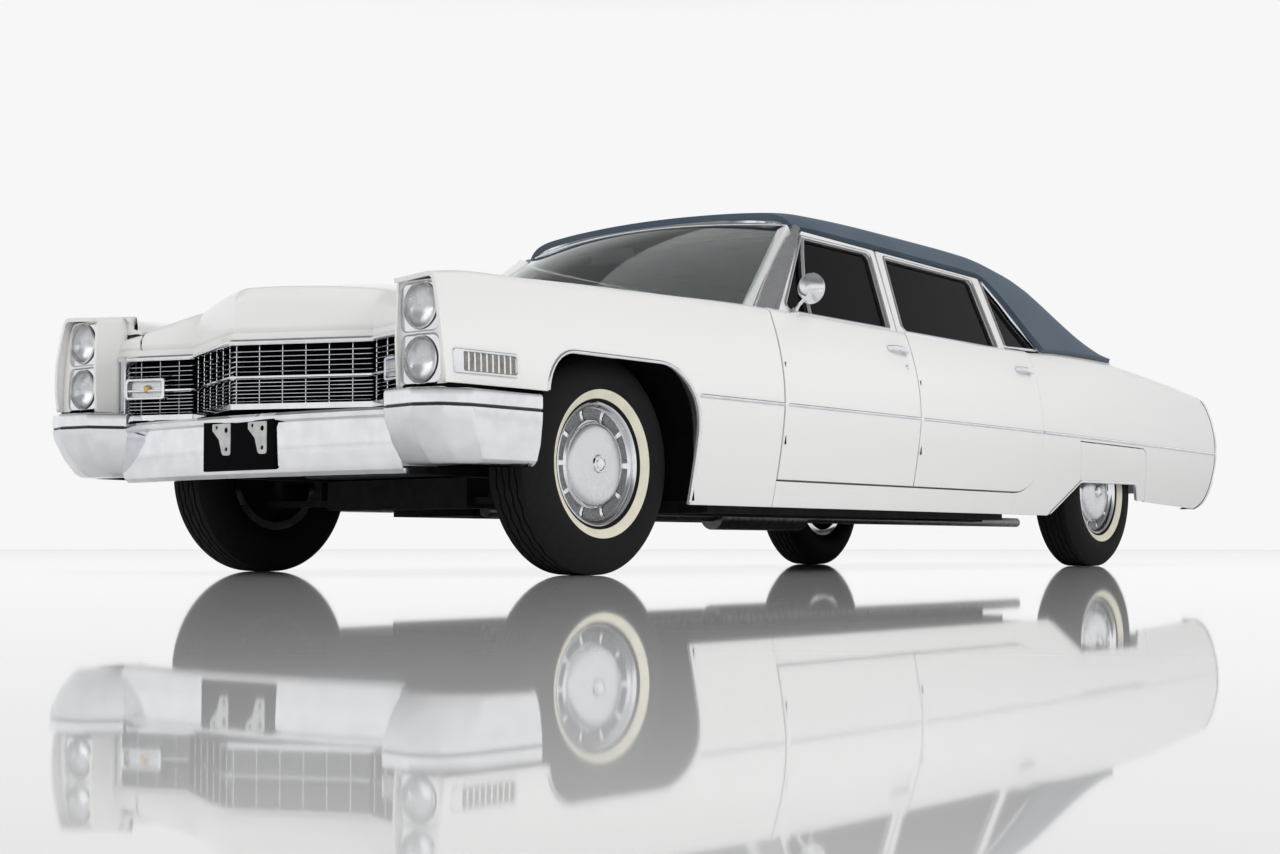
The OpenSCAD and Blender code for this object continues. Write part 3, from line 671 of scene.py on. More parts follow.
PAINT = make_paint()
CHROME = make_chrome()
VINYL = make_vinyl()
BLACK = make_plain("satin_black", "chassis", (0.012, 0.012, 0.013), 0.5)
# Near black that hardly reflects: the real black of the wheelhouse linings and the tail seam, and painted
# shade on the sheets and blocks in the hollows behind the grille and lamps, at the plate and in the bumper
# end gaps
DARK_LINING_AND_SHADE = make_plain("dark_recess", "chassis", (0.004, 0.004, 0.005), 0.9, Specular_IOR_Level=0.05)
CHASSIS = make_plain("chassis_black", "chassis", (0.02, 0.02, 0.021), 0.7, 0.35, 18.0, 0.0008,
                     Specular_IOR_Level=0.15)
STEEL = make_metal("bare_steel", "chassis", (0.25, 0.25, 0.26), 0.4, 0.3, 40.0)
ENGINE = make_plain("engine_grey", "engine", (0.05, 0.07, 0.10), 0.5, 0.3, 25.0, 0.001)
RUBBER = make_plain("tyre_rubber", "tyre", (0.010, 0.010, 0.011), 0.75, 0.25, 60.0, 0.0004,
                    Specular_IOR_Level=0.2)
WHITEWALL = make_plain("whitewall_cream", "tyre", (0.80, 0.76, 0.62), 0.6, 0.05, 20.0, 0.0002)
WINDSHIELD = make_glass("windshield_glass", "glass", (0.82, 0.90, 0.88), 1.0)
TINTED = make_glass("glass_tinted", "tinted_glass", (0.002, 0.0018, 0.003), 0.12, Specular_IOR_Level=0.06)
LENS = make_glass("lens_clear", "lamp_glass", (0.93, 0.95, 0.97), 0.92)
bump(LENS, texture(LENS, "Wave", 24.0, (0, 1, 0.12)), 0.5, 0.003)
REFLECTOR = make_metal("lamp_reflector", "lamp_glass", (0.80, 0.80, 0.79), 0.32, 0.05, 30.0)
AMBER = make_plain("amber_lens", "amber_lamp", (0.80, 0.42, 0.08), 0.15, 0.15, 40.0, Coat_Weight=0.8)
RED = make_plain("red_lens", "red_lamp", (0.45, 0.010, 0.012), 0.15, 0.2, 40.0, Coat_Weight=0.8)
CLOTH = make_plain("seat_cloth", "upholstery", (0.030, 0.042, 0.075), 0.85, 0.3, 300.0, 0.0006)
PLASTIC = make_plain("trim_grained", "trim_plastic", (0.018, 0.020, 0.028), 0.55, 0.25, 200.0, 0.0003)
COVER_MESH = make_metal("cover_mesh", "chrome", (0.20, 0.205, 0.215), 0.35, 0.5, 260.0, 0.0015)
SATIN = make_metal("cover_satin", "chrome", (0.72, 0.73, 0.75), 0.26, 0.04, 20.0)
RIBS = make_metal("ribbed_lens", "lamp_glass", (0.24, 0.235, 0.22), 0.18, 0.25, 50.0, metallic=0.8)
LINER = make_plain("headliner_cloth", "upholstery", (0.020, 0.024, 0.034), 0.9, 0.3, 260.0, 0.0005)
BRACKET = make_plain("plate_bracket", "chrome", (0.55, 0.57, 0.56), 0.45, 0.12, 25.0, 0.0002)


def side_line(height, x0, x1, step=40):
    """Points of a line along the body side, given as a height for each place."""
    n = max(2, math.ceil(abs(x1 - x0) / step))
    return [(x, height(x)) for x in spread(x0, x1, n)]


def top_line(x0, x1):
    """Inner edge of a body panel from one place to another."""
    return side_line(top_v, x0, x1)


def tail_outline(inset=0):
    """Side view of the tail end, from its lower edge to the shoulder."""
    points = [(-2820, 298), (-2935, 332), (-3023, 405), (-3080, 517), (-3097, 629), (-3084, 739),
              (-3032, 846), (-2972, 893)]
    return spline([(x + inset, z) for x, z in points], 5)


# Wheel opening of the front fender and its lining
ARCH_REAR = AXLE_F - 395
ARCH_FRONT = AXLE_F + 373
HOUSE_REAR = AXLE_F - 400
HOUSE_FRONT = AXLE_F + 376
POD_REAR = nose_x(HOOD_HW)
POD_WALL_Y = 741


def build_front_fenders():
    rear = DOOR_A + SHUT_GAP / 2
    opening = rounded([(ARCH_REAR, 300, 0), (ARCH_REAR, 700, 225), (ARCH_FRONT, 700, 125),
                       (ARCH_FRONT, 300, 0)], 10)[1:-1]
    outline = [(rear, SILL_Z), (ARCH_REAR, SILL_Z), *opening, (ARCH_FRONT, 568), (3048, 568), (3058, 640),
               (3062, 740), (3056, 850), *top_line(3050, POD_REAR + 4), *top_line(POD_REAR - 2, HOOD_REAR),
               *top_line(HOOD_REAR - 6, rear)]
    pair(panel, "front_fender", outline, body_side, PAINT, out=-1, nodes=["front_fenders"])
    lip = along([(ARCH_REAR, SILL_Z + 8), *opening, (ARCH_FRONT, 572)], 30)
    pair(trim, "arch_moulding", lip, body_side, 14, 6, CHROME, out=-1)
    house = along([(HOUSE_REAR, SILL_Z), *opening, (HOUSE_FRONT, 420)], 40)
    # Near black wheelhouse lining and inner wall: the real black of the lining, and painted shade inside the
    # wheel opening
    pair(loft, "wheelhouse", [[Vector((p.x, y, p.y + 14)) for p in house] for y in (520, 962)], DARK_LINING_AND_SHADE)
    wall = [[Vector((x, 522, z)) for x in (HOUSE_REAR, HOUSE_FRONT)] for z in (430, 716)]
    pair(loft, "wheelhouse_wall", wall, DARK_LINING_AND_SHADE)
    x = POD_REAR - 1
    step = []
    for y in (660, 690, 720, 747):
        step.append([Vector((x, y, 838)), Vector((x, y, hood_edge(x) + (y - 662) * 0.66))])
    pair(loft, "lamp_pod_step", step, PAINT)
    inner = rounded([(POD_REAR - 4, 560, 0), (3036, 560, 0), (3044, 700, 0), (3036, 880, 20),
                     (POD_REAR - 4, 892, 8)], 4)
    pair(panel, "lamp_pod_wall", inner, lambda x, z: Vector((x, POD_WALL_Y, z)), PAINT, depth=10)


def door_corner(x, half_width, half_height):
    """Quarter of an ellipse at the lower rear corner of a rear door, downwards."""
    turns = spread(math.pi, 1.5 * math.pi, 10)
    return [(x + half_width * math.cos(a), DOOR_Z + 145 + half_height * math.sin(a)) for a in turns]


def build_doors():
    gap = SHUT_GAP / 2
    front = [(DOOR_A - gap, DOOR_Z), *top_line(DOOR_A - gap, DOOR_B + gap), (DOOR_B + gap, DOOR_Z)]
    rear = [(DOOR_B - gap, DOOR_Z), *top_line(DOOR_B - gap, DOOR_C + gap),
            *door_corner(DOOR_C + 210, 206.5, 145)]
    for part, outline in (("front", front), ("rear", rear)):
        pair(panel, f"skin_door_{part}", outline, body_side, PAINT, body=f"door_{part}", out=-1,
             proud=SKIN_PROUD, depth=12)


def build_quarters():
    front = DOOR_C - SHUT_GAP / 2
    opening = rounded([(-1100, 585, 0), (-1952, 585, 70), (-2012, 322, 0)], 8)[1:-1]
    outline = [(front + 217, SILL_Z), (-845, SILL_Z), (-872, 246), (-1150, 400), (-1100, 585), *opening,
               (-2012, 320), *tail_outline(46), *top_line(-2914, LID_FRONT + 6),
               *top_line(LID_FRONT + 12, front), *door_corner(front + 217, 213.5, 152)]
    pair(panel, "rear_quarter", outline, body_side, PAINT, out=-1, nodes=["rear_quarters"])
    corner = rounded([(-1104, 581, 0), (-1949, 581, 66), (-2007, 326, 0)], 8)[1:-1]
    skirt = [(-1153, 402), (-1104, 581), *corner, (-2006, 324), (-1903, 325), (-1850, 408)]
    pair(panel, "fender_skirt", skirt, body_side, PAINT, out=-1, nodes=["fender_skirts"])
    lip = rounded([(-868, 246, 0), (-1150, 399, 60), (-1850, 408, 60), (-1902, 325, 0)], 5)
    pair(trim, "skirt_moulding", along(lip, 30), body_side, 14, 6, CHROME, out=-1)


def build_sills():
    top, rear = DOOR_Z - SHUT_GAP, DOOR_C + 214
    outline = [(DOOR_A, SILL_Z), (DOOR_A, top), (rear, top), (rear, SILL_Z)]
    pair(panel, "sill", outline, body_side, PAINT, out=-1, nodes=["sills"], depth=40)


def proud_side(x, v):
    return body_side(x, v) + Vector((0, SKIN_PROUD, 0))


def build_side_trim():
    """Bright line along the widest part of the side, split at the doors."""
    spans = [("body", "front", 1872, DOOR_A + 6), ("door_front", "front_door", DOOR_A - 20, DOOR_B + 6),
             ("door_rear", "rear_door", DOOR_B - 20, DOOR_C + 6), ("body", "quarter", DOOR_C - 6, -3046)]
    for body, part, x0, x1 in spans:
        line = side_line(lambda x: TRIM_Z, x0, x1, 60)
        pair(trim, f"side_trim_{part}", line, proud_side, 13, 5, CHROME, body=body, out=-1)


# Front of the hood: length of the bend over the nose, and height of the lip
NOSE_REACH = 62
LIP_Z = 787


def hood_nose(y):
    """Front edge of the hood, length of its flat part and of the bend, and the drop in the bend."""
    front = nose_x(y)
    drop = 0.72 * (hood_z(front - 60, y) - LIP_Z)
    return front, front - NOSE_REACH - HOOD_REAR, math.pi / 4 * (NOSE_REACH + drop), drop


def hood_point(t, y):
    """Hood surface: t is the distance from the rear edge, over the nose and down to the lip."""
    front, flat, bend, drop = hood_nose(y)
    start = front - NOSE_REACH
    if t < flat:
        x = HOOD_REAR + t
        return Vector((x, y, hood_z(x, y)))
    if t < flat + bend:
        a = (t - flat) / bend * math.pi / 2
        return Vector((start + NOSE_REACH * math.sin(a), y, hood_z(start, y) - drop * (1 - math.cos(a))))
    below = t - flat - bend
    return Vector((front + below / 15, y, hood_z(start, y) - drop - below))


def hood_length(y):
    front, flat, bend, drop = hood_nose(y)
    return flat + bend + hood_z(front - NOSE_REACH, y) - drop - LIP_Z


def hood_inner(rows, nose):
    """Inner skin below the hood, also set back past the point where the nose starts."""
    return [[p - Vector((12 if i > nose else 0, 0, 18)) for i, p in enumerate(row)] for row in rows]


def build_hood():
    rows = []
    for y in spread(HOOD_HW - 1, 1 - HOOD_HW, 48):
        total = hood_length(y)
        stops = spread(0, 0.86 * total, 36)[:-1] + spread(0.86 * total, total, 16)
        rows.append([hood_point(t, y) for t in stops])
    shell("hood_panel", rows, hood_inner(rows, 40), PAINT, "hood", nodes=["hood"])
    start = POD_REAR - 8 - HOOD_REAR
    rows = []
    for y in spread(POD_WALL_Y, 662, 8):
        rows.append([hood_point(t, y) for t in spread(start, hood_length(y), 24)])
    pair(shell, "nose_corner", rows, hood_inner(rows, 8), PAINT)
    path = [on_nose(5)(y, 748) for y in spread(740, -740, 60)]
    rows = [[p + Vector((0, 0, up)) for up in (2, 30)] for p in path]
    sheet("header_panel", rows, (-14, 0, 0), PAINT, "body")
    profile = [(-9, -8), (9, -8), (9, 4), (4, 8), (-4, 8), (-9, 4)]
    sweep("grille_top_moulding", path, profile, AHEAD, CHROME, "body")


def build_lid():
    rows = []
    for y in spread(LID_HW, -LID_HW, 24):
        edge = lid_z(LID_REAR, y)
        row = [Vector((x, y, lid_z(x, y))) for x in spread(LID_FRONT, LID_REAR, 30)]
        rows.append(row + [Vector((LID_REAR - 8, y, edge - 6)), Vector((LID_REAR - 10, y, edge - 22))])
    sheet("trunk_lid_panel", rows, (0, 0, -22), PAINT, "trunk_lid", nodes=["trunk_lid"])


def roof_section(x):
    """Half section of the roof from the centre to its base, as points (half width, height)."""
    mid, sz, sy = roof_mid(x), roof_sh_z(x), roof_sh_y(x)
    by, bz = roof_base_y(x), roof_base_z(x)
    fall = mid - sz
    points = [(-sy * 0.34, mid - fall * 0.1), (0, mid), (sy * 0.34, mid - fall * 0.1),
              (sy * 0.68, mid - fall * 0.40), (sy * 0.93, sz + fall * 0.10),
              (sy + (by - sy) * 0.1, sz - (sz - bz) * 0.12), ((sy + by) / 2 + 12, (sz + bz) / 2 + 7),
              (by, bz)]
    return spline(points, 10)[10:]


sections = {}


def section_at(x):
    """Points of the half section at a place, and their distances from the centre."""
    key = round(x, 1)
    if key not in sections:
        points = roof_section(key)
        lengths = [0]
        for a, b in zip(points, points[1:]):
            lengths.append(lengths[-1] + (b - a).length)
        sections[key] = points, lengths
    return sections[key]


def roof_point(x, s):
    """Roof surface: s is the distance across from the centre line, left positive."""
    points, lengths = section_at(x)
    i = min(max(bisect_right(lengths, abs(s)) - 1, 0), len(points) - 2)
    t = (abs(s) - lengths[i]) / (lengths[i + 1] - lengths[i])
    p = points[i].lerp(points[i + 1], t)
    return Vector((x, math.copysign(p.x, s), p.y))


def across_until(x, goal, measure):
    """Distance across the roof at which a measure of its points comes down to a goal."""
    points, lengths = section_at(x)
    values = [measure(p) for p in points]
    for i, (a, b) in enumerate(zip(values, values[1:])):
        if a >= goal > b:
            return lengths[i] + (a - goal) / (a - b) * (lengths[i + 1] - lengths[i])
    return lengths[-1]


def down_to(x, z):
    return across_until(x, z, lambda p: p.y)


def out_to(x, y):
    return across_until(x, -y, lambda p: -p.x)


def foot_across(x):
    return section_at(x)[1][-1]


# Front end of the roof rail, foot of the roof cover, and its height over the door frames
RAIL_FRONT = 840
ROOF_FOOT = -1681
COVER_UP = 10


def header_x(s):
    """Front edge of the roof cover, bowed back towards the sides."""
    return 904 - 64 * (s / 700) ** 2


def roof_edge():
    """Left lower edge of the roof cover as (place, distance across), from front to rear."""
    side = [(x, rail_z(x) + COVER_UP) for x in spread(RAIL_FRONT, -560, 40)]
    sail = spline([side[-1], (-612, 1296), (-660, 1250), (-760, 1105), (-846, 1000), (-872, 985)], 6)
    line = [(x, down_to(x, z)) for x, z in [*side, *sail[1:]]]
    return line + [(x, foot_across(x)) for x in spread(-900, -1680, 20)]


def window_outline(grow=0):
    """Rear window opening on the roof, as (place, distance across)."""
    top, foot = -1075 + grow, -1628 - grow
    corners = [(top, 505 + grow), (foot, 575 + grow), (foot, -575 - grow), (top, -505 - grow)]
    loop = dense(rounded([(x, y, 50) for x, y in corners], 5), 40)
    return [Vector((p.x, math.copysign(out_to(p.x, abs(p.y) + 0.01), p.y))) for p in loop]


def build_deck():
    """Panel between the rear window and the trunk lid, and the moulding at the foot of the roof."""
    half = 844
    xs = [-1640, -1680, -1720, -1760, LID_FRONT + SHUT_GAP]
    ys = spread(half, -half, 32)
    rows = [[Vector((x, y, top_z(x) + 4 - 6 * (y / half) ** 2)) for x in xs] for y in ys]
    sheet("deck_panel", rows, (0, 0, -16), PAINT, "body")
    foot = foot_across(ROOF_FOOT)
    upper = [roof_point(ROOF_FOOT, s) for s in spread(foot, -foot, 40)]
    lower = [Vector((-1716, p.y * 0.99, top_z(-1716) + 3)) for p in upper]
    crest = [a.lerp(b, 0.5) + Vector((-8, 0, 6)) for a, b in zip(upper, lower)]
    loft("roof_foot_moulding", [upper, crest, lower], CHROME, "body")


def build_roof():
    left = roof_edge()
    top = left[0][1]
    front = [(header_x(s), s) for s in spread(-top, top, 20)]
    outline = [*front, *left[1:], *[(x, -s) for x, s in left[:0:-1]]]
    panel("roof_cover", outline, roof_point, VINYL, "body", holes=[window_outline(6)], step=38, out=-1,
          depth=24, nodes=["roof"])
    edge = [p for p in left if p[0] < RAIL_FRONT]
    pair(trim, "roof_moulding", edge, roof_point, 16, 7, CHROME, out=-1)
    rail = [(x, down_to(x, rail_z(x) + 3)) for x in spread(RAIL_FRONT, -600, 40)]
    pair(trim, "drip_rail", rail, roof_point, 14, 16, CHROME, out=-1)
    seam = [(282 + 24 * (s / 700) ** 2, s) for s in spread(-690, 690, 40)]
    trim("roof_seam", seam, roof_point, 10, 3, VINYL, "body", out=-1)
    panel("rear_window_pane", window_outline(-4), roof_point, TINTED, "body", step=60, out=-1, depth=8,
          proud=-8, nodes=["rear_window"])
    trim("rear_window_moulding", window_outline(2), roof_point, 22, 8, CHROME, "body", out=-1, closed=True)


def windshield_point(t, k):
    """Windshield: t from -1 to 1 across, k from 0 at the base to 1 at the top."""
    y = t * 840
    base = Vector((1341 + 220 * (1 - (y / COWL_HW) ** 2), y, 994 - 52 * (y / COWL_HW) ** 2))
    mid = Vector((1070 + 202 * (1 - t * t), t * 746, 1225 - 30 * t * t))
    top = Vector((838 + 112 * (1 - t * t), t * 672, 1394 - 34 * t * t))
    return base * (1 - k) * (1 - 2 * k) + mid * 4 * k * (1 - k) + top * k * (2 * k - 1)


def build_windshield():
    across = spread(-1, 1, 32)
    ups = spread(0, 1, 14)
    rows = [[windshield_point(t, k) for k in ups] for t in across]
    sheet("windshield_pane", rows, (-5, 0, -3), WINDSHIELD, "body", nodes=["windshield"])
    top = [row[-1] for row in rows]
    base = [row[0] for row in rows]
    loop = top + rows[-1][-2:0:-1] + base[::-1] + rows[0][1:-1]
    sweep("windshield_moulding", loop, bead(15, 6), Vector((0.6, 0, 0.8)), CHROME, "body", closed=True)
    edge = [roof_point(header_x(s), s) for s in spread(-735, 735, 32)]
    crest = [a.lerp(b, 0.5) + Vector((6, 0, 4)) for a, b in zip(top, edge)]
    loft("windshield_header", [top, crest, [p + Vector((0, 0, 2)) for p in edge]], CHROME, "body")
    glass = rows[-1]
    foot, head = Vector((1316, 922, 958)), Vector((RAIL_FRONT - 2, 722, 1345))
    outer = [foot.lerp(head, k) + Vector((0, 12, 10)) * math.sin(math.pi * k) for k in ups]
    crest = [a.lerp(b, 0.55) + Vector((10, 6, 6)) for a, b in zip(glass, outer)]
    pair(loft, "windshield_pillar", [glass, crest, outer], SATIN)


LEAN_OUT = Vector((0, math.cos(SIDE_LEAN), math.sin(SIDE_LEAN)))
FRONT_PANE = [(1240, 964, 20), (862, 1306, 12), (352, 1304, 22), (480, 964, 22)]
REAR_PANE = [(381, 964, 22), (245, 1303, 22), (-504, 1291, 22), (-440, 964, 22)]
QUARTER_PANE = [(-524, 979, 8), (-592, 1290, 4), (-606, 1290, 4), (-691, 1192, 0), (-740, 1116, 0),
                (-846, 1000, 3), (-846, 992, 3)]


def lean_point(x, z, depth=0):
    """Point on the leaning plane of the side windows."""
    return Vector((x, FRAME_Y - (z - BELT_Z) * math.tan(SIDE_LEAN), z)) - LEAN_OUT * depth


def build_side_windows():
    for part, pane in (("front", FRONT_PANE), ("rear", REAR_PANE)):
        loop = [lean_point(p.x, p.y) for p in dense(rounded(pane, 6), 60)]
        pair(sweep, f"window_edge_{part}", loop, bead(13, 5), LEAN_OUT, CHROME, body=f"door_{part}",
             closed=True)
    loop = dense(rounded(QUARTER_PANE, 5), 40)
    pair(panel, "quarter_pane", loop, lambda x, z: lean_point(x, z, 8), TINTED, step=80, depth=6, out=-1,
         nodes=["quarter_glass"])
    edge = [lean_point(p.x, p.y, 2) for p in loop]
    pair(sweep, "quarter_edge", edge, bead(14, 7), LEAN_OUT, CHROME, closed=True)
    post = [lean_point(x, z, 1) for x, z in [(1062, 964), (1010, 1080), (930, 1200), (858, 1296)]]
    pair(sweep, "vent_post", spline(post, 6), bead(18, 7), LEAN_OUT, CHROME, body="door_front")


# Front face of the lamp bezels, and distance of the lamps from the middle of the car
LAMP_X = 3026
LAMP_Y = 834
LAMP_BOWL = [(70, 4), (66, 8), (63, 2), (62, -14), (50, -30), (25, -42), (0.5, -46)]
LAMP_LENS = [(0.5, 14), (20, 13), (40, 9), (55, 3), (62, -3), (62, -7), (55, -2), (40, 4), (0.5, 9)]
# Lamp, height of its centre, lower and upper edge of its bezel, and the bezel's outer edge at each
LAMPS = [("upper", 803, 726, 872, 914, 896), ("lower", 643, 570, 718, 918, 912)]


def upright(x):
    """Plane across the car at a place."""
    return lambda y, z: Vector((x, y, z))


def build_lamps():
    bezels = []
    for part, z, low, high, low_y, high_y in LAMPS:
        bezel = rounded([(752, low, 26), (low_y, low, 26), (high_y, high, 30), (752, high, 26)], 6)
        bezels.append(bezel)
        first = part == "upper"
        pair(panel, f"lamp_bezel_{part}", bezel, upright(LAMP_X), CHROME, holes=[ring(LAMP_Y, z, 68)],
             step=30, rim=5, depth=26, nodes=["headlamp_bezels"] if first else ())
        centre = (LAMP_X, LAMP_Y, z)
        pair(lathe, f"lamp_bowl_{part}", LAMP_BOWL, centre, REFLECTOR, n=40, axis="x",
             nodes=["headlamps"] if first else ())
        pair(lathe, f"lamp_lens_{part}", LAMP_LENS, centre, LENS, n=40, axis="x")
    edge = [(side_y(3048, z) - 8, z) for z in range(562, 850, 32)]
    face = [(744, 562), *edge, (900, 868), (884, 880), (744, 880)]
    pair(panel, "lamp_pod_face", face, upright(3030), PAINT, holes=bezels, step=40, rim=6, depth=24)
    # A near black block behind the bezels: painted shade in the hollow of the lamp pod
    pair(block, "lamp_pod_back", (2900, 748, 566), (LAMP_X - 60, 922, 876), DARK_LINING_AND_SHADE)


# Half width of the grille, and heights of its thin bars
GRILLE_HW = 716
GRILLE_BARS = [559, 571, 583, 595, 607, 619, 655, 671, 687, 703, 719]


def build_grille():
    ys = spread(-GRILLE_HW, GRILLE_HW, 96)

    def bar(name, z, profile, out):
        sweep(name, [on_nose(out)(y, z) for y in ys], profile, AHEAD, CHROME, "body")

    # A near black sheet behind the grille bars: painted shade in place of the space behind the grille
    back = [[on_nose(-46)(y, z) for y in ys] for z in (530, 752)]
    loft("grille_back", back, DARK_LINING_AND_SHADE, "body", nodes=["grille"])
    for k, z in enumerate(GRILLE_BARS):
        bar(f"grille_bar_{k}", z, [(-2.1, -22), (2.1, -22), (2.1, 0), (0, 2.5), (-2.1, 0)], -4)
    bar("grille_mid_bar", 635, [(-8, -20), (8, -20), (8, 2), (3, 14), (-3, 14), (-8, 2)], 2)
    bar("grille_lower_frame", 541, [(-9, -24), (9, -24), (9, 6), (-9, 6)], 4)
    profile = [(-1.8, -22), (1.8, -22), (1.8, 2), (-1.8, 2)]
    posts = []
    for k in range(-9, 10):
        path = [on_nose(-14)(74 * k, z) for z in (535, 742)]
        posts.append(sweep_mesh(path, profile, AHEAD))
    add("grille_posts", *merged(posts), CHROME, "body")
    end = nose_x(GRILLE_HW)
    pair(block, "grille_end", (end - 30, 704, 534), (end + 14, 730, 756), CHROME)


def build_signal_lamps():
    outline = rounded([(545, 604, 10), (700, 604, 14), (700, 678, 14), (545, 678, 10)], 5)
    hole = rounded([(556, 614, 8), (690, 614, 10), (690, 668, 10), (556, 668, 8)], 5)
    pair(panel, "signal_frame", outline, on_nose(22), CHROME, holes=[hole], step=30, rim=3, depth=24)
    pair(panel, "signal_lens", hole, on_nose(17), LENS, step=30, depth=5, nodes=["signal_lamps"])
    pair(panel, "signal_back", hole, on_nose(2), REFLECTOR, step=30, depth=3)
    bulb = [(0.5, 9), (8, 7), (13, 2), (15, -4), (15, -9)]
    pair(lathe, "signal_bulb", bulb, on_nose(11)(623, 641), AMBER, n=24, axis="x")


# Rear edge of the bumper ends, and height of the dark groove around them
BUMPER_REAR = 2668
GROOVE_Z = 503


def build_front_bumper():
    plan = curve([(0, 3016), (200, 3010), (480, 2992), (700, 2962)])
    path = [Vector((plan(abs(y)), y, 0)) for y in spread(-690, 690, 60)]
    profile = [(-315, -60), (-315, -24), (-328, -8), (-350, 0), (-470, 3), (-486, 0), (-494, 7), (-508, 9),
               (-517, 2), (-518, -14), (-518, -60)]
    sweep("bumper_bar", path, profile, AHEAD, CHROME, "body", nodes=["front_bumper"], angle=25)
    # A near black block behind the plate brackets: painted shade of a recess
    block("plate_recess", (3000, -176, 338), (3021, 176, 499), DARK_LINING_AND_SHADE, "body", 3)
    for name, y in (("right", -80), ("left", 98)):
        tab = rounded([(y - 45, 470, 8), (y - 45, 492, 4), (y + 45, 492, 4), (y + 45, 388, 10),
                       (y + 5, 388, 14), (y - 12, 440, 10)], 4)
        slots = [ring(y + 24, 408, 7, 16), ring(y + 24, 470, 9, 16), ring(y - 24, 480, 6, 16)]
        panel(f"plate_bracket_{name}", tab, upright(3025), BRACKET, "body", holes=slots, step=30, rim=1,
              depth=3)

    def bow(x, y, z):
        """The lower front of a bumper end falls back like a bow."""
        back = (max(0, 500 - z) / 164) ** 1.5
        return Vector((x - 95 * back * max(0, (x - BUMPER_REAR) / 434), y - 16 * back, z))

    outline = rounded([(2905, 690, 10), (2968, 652, 20), (3080, 730, 30), (3102, 868, 34), (3070, 958, 40),
                       (2975, 996, 60), (BUMPER_REAR, 1003, 10), (BUMPER_REAR, 930, 10), (2950, 920, 10)], 6)
    levels = [(336, 34), (340, 20), (352, 9), (400, 2), (470, 0), (500, 0), (GROOVE_Z, 5), (508, 5),
              (511, 0), (545, 0), (553, 3), (556, 10)]
    marks = [0, 0] + [int(z == GROOVE_Z) for z, inset in levels[:-1] for p in outline]
    pair(stack, "bumper_end", outline, levels, [CHROME, BLACK], place=bow, marks=marks, angle=30)
    # A near black block in the gap between the bumper end and the fender: painted shade
    pair(block, "bumper_end_gap", (2680, 760, 540), (3030, 960, 572), DARK_LINING_AND_SHADE)


def build_cornering_lamps():
    rear, front, low, high = 2770, 2985, 607, 661
    outline = rounded([(2761, 598, 14), (3020, 598, 10), (3026, 670, 10), (2761, 670, 14)], 5)
    hole = rounded([(rear, low, 10), (front, low, 4), (front, high, 4), (rear, high, 10)], 4)
    pair(panel, "cornering_frame", outline, body_side, CHROME, holes=[hole], step=26, rim=3, depth=8,
         proud=6, out=-1)

    def rib(x, z):
        return body_side(x, z) + Vector((0, 5 * abs(math.sin((x - rear) * math.pi / 24)) - 2, 0))

    ribs = [[rib(x, z) for z in spread(low, high, 4)] for x in spread(rear, front, 108)]
    pair(loft, "cornering_lens", ribs, RIBS)


def build_tail():
    outer, inner = tail_outline(), tail_outline(44)
    rows = [[Vector((p.x, side_y(p.x, p.y) - 1, p.y)) for p in inner]]
    for y, pull in ((888, 10), (868, 0), (800, 0), (786, 10)):
        rows.append([Vector((p.x + pull, min(y, side_y(p.x, p.y) - 1), p.y)) for p in outer])
    rows.append([Vector((p.x, 786, p.y)) for p in inner])
    pair(loft, "tail_blade", rows, CHROME, nodes=["rear_bumper", "tail_lamps"])
    corner = []
    for x in range(-2904, -2976, -12):
        over = spread(shoulder(x)[0], top_v(x), 10)
        corner.append([body_side(x, v) - Vector((0, 1, 1)) for v in over])
    pair(loft, "tail_corner", corner, PAINT)
    pair(trim, "tail_seam", tail_outline(45), body_side, 7, 1.5, DARK_LINING_AND_SHADE, out=-1)
    lamp = spline([(-3080, 517), (-3097, 629), (-3084, 739)], 6)
    path = [Vector((p.x - 2, 834, p.y)) for p in lamp]
    pair(sweep, "tail_lamp", path, bead(44, 7), -AHEAD, RED)
    path = [Vector((-3098 + 24 * (y / 800) ** 2, y, 0)) for y in spread(-800, 800, 40)]
    profile = [(395, -90), (395, -20), (410, -4), (440, 0), (500, 0), (524, -6), (538, -22), (540, -90)]
    sweep("rear_bumper_bar", path, profile, -AHEAD, CHROME, "body", angle=25)


# Side of a tyre as (radius, out from its middle), with the pale band between two of its points
TYRE_SIDE = [(195, 62), (203, 73), (211, 81), (213, 83), (242, 99), (244, 100), (262, 104.5), (285, 105),
             (310, 101), (332, 93), (346, 84), (356, 74), (361, 68)]
PALE_BAND = 3
TREAD_STEPS = 180


def tyre_profile(wave):
    """Profile across the tyre, outer side first, with four grooves that swing by wave."""
    tread = []
    for middle_y, swing in ((40.5, 3.5), (13.5, -3.5), (-13.5, 3.5), (-40.5, -3.5)):
        y = middle_y + wave * swing
        tread += [(362, y + 4), (355, y + 3), (355, y - 3), (362, y - 4)]
    return TYRE_SIDE + tread + [(r, -y) for r, y in TYRE_SIDE[::-1]]


def build_tyre(name, centre, body, s):
    rows = []
    for k in range(TREAD_STEPS):
        a = k * math.tau / TREAD_STEPS
        profile = tyre_profile(abs(k % 6 - 3) / 1.5 - 1)
        rows.append([centre + Vector((r * math.cos(a), y, r * math.sin(a))) for r, y in profile])
    size = len(rows[0])
    faces = quads(TREAD_STEPS, size, around=True)
    marks = [int(k % (size - 1) == PALE_BAND) for k in range(len(faces))]
    add(f"tyre_{name}_tread", sum(rows, []), faces, [RUBBER, WHITEWALL], body, side=s, marks=marks, angle=30,
        nodes=[f"tyre_{name}"])


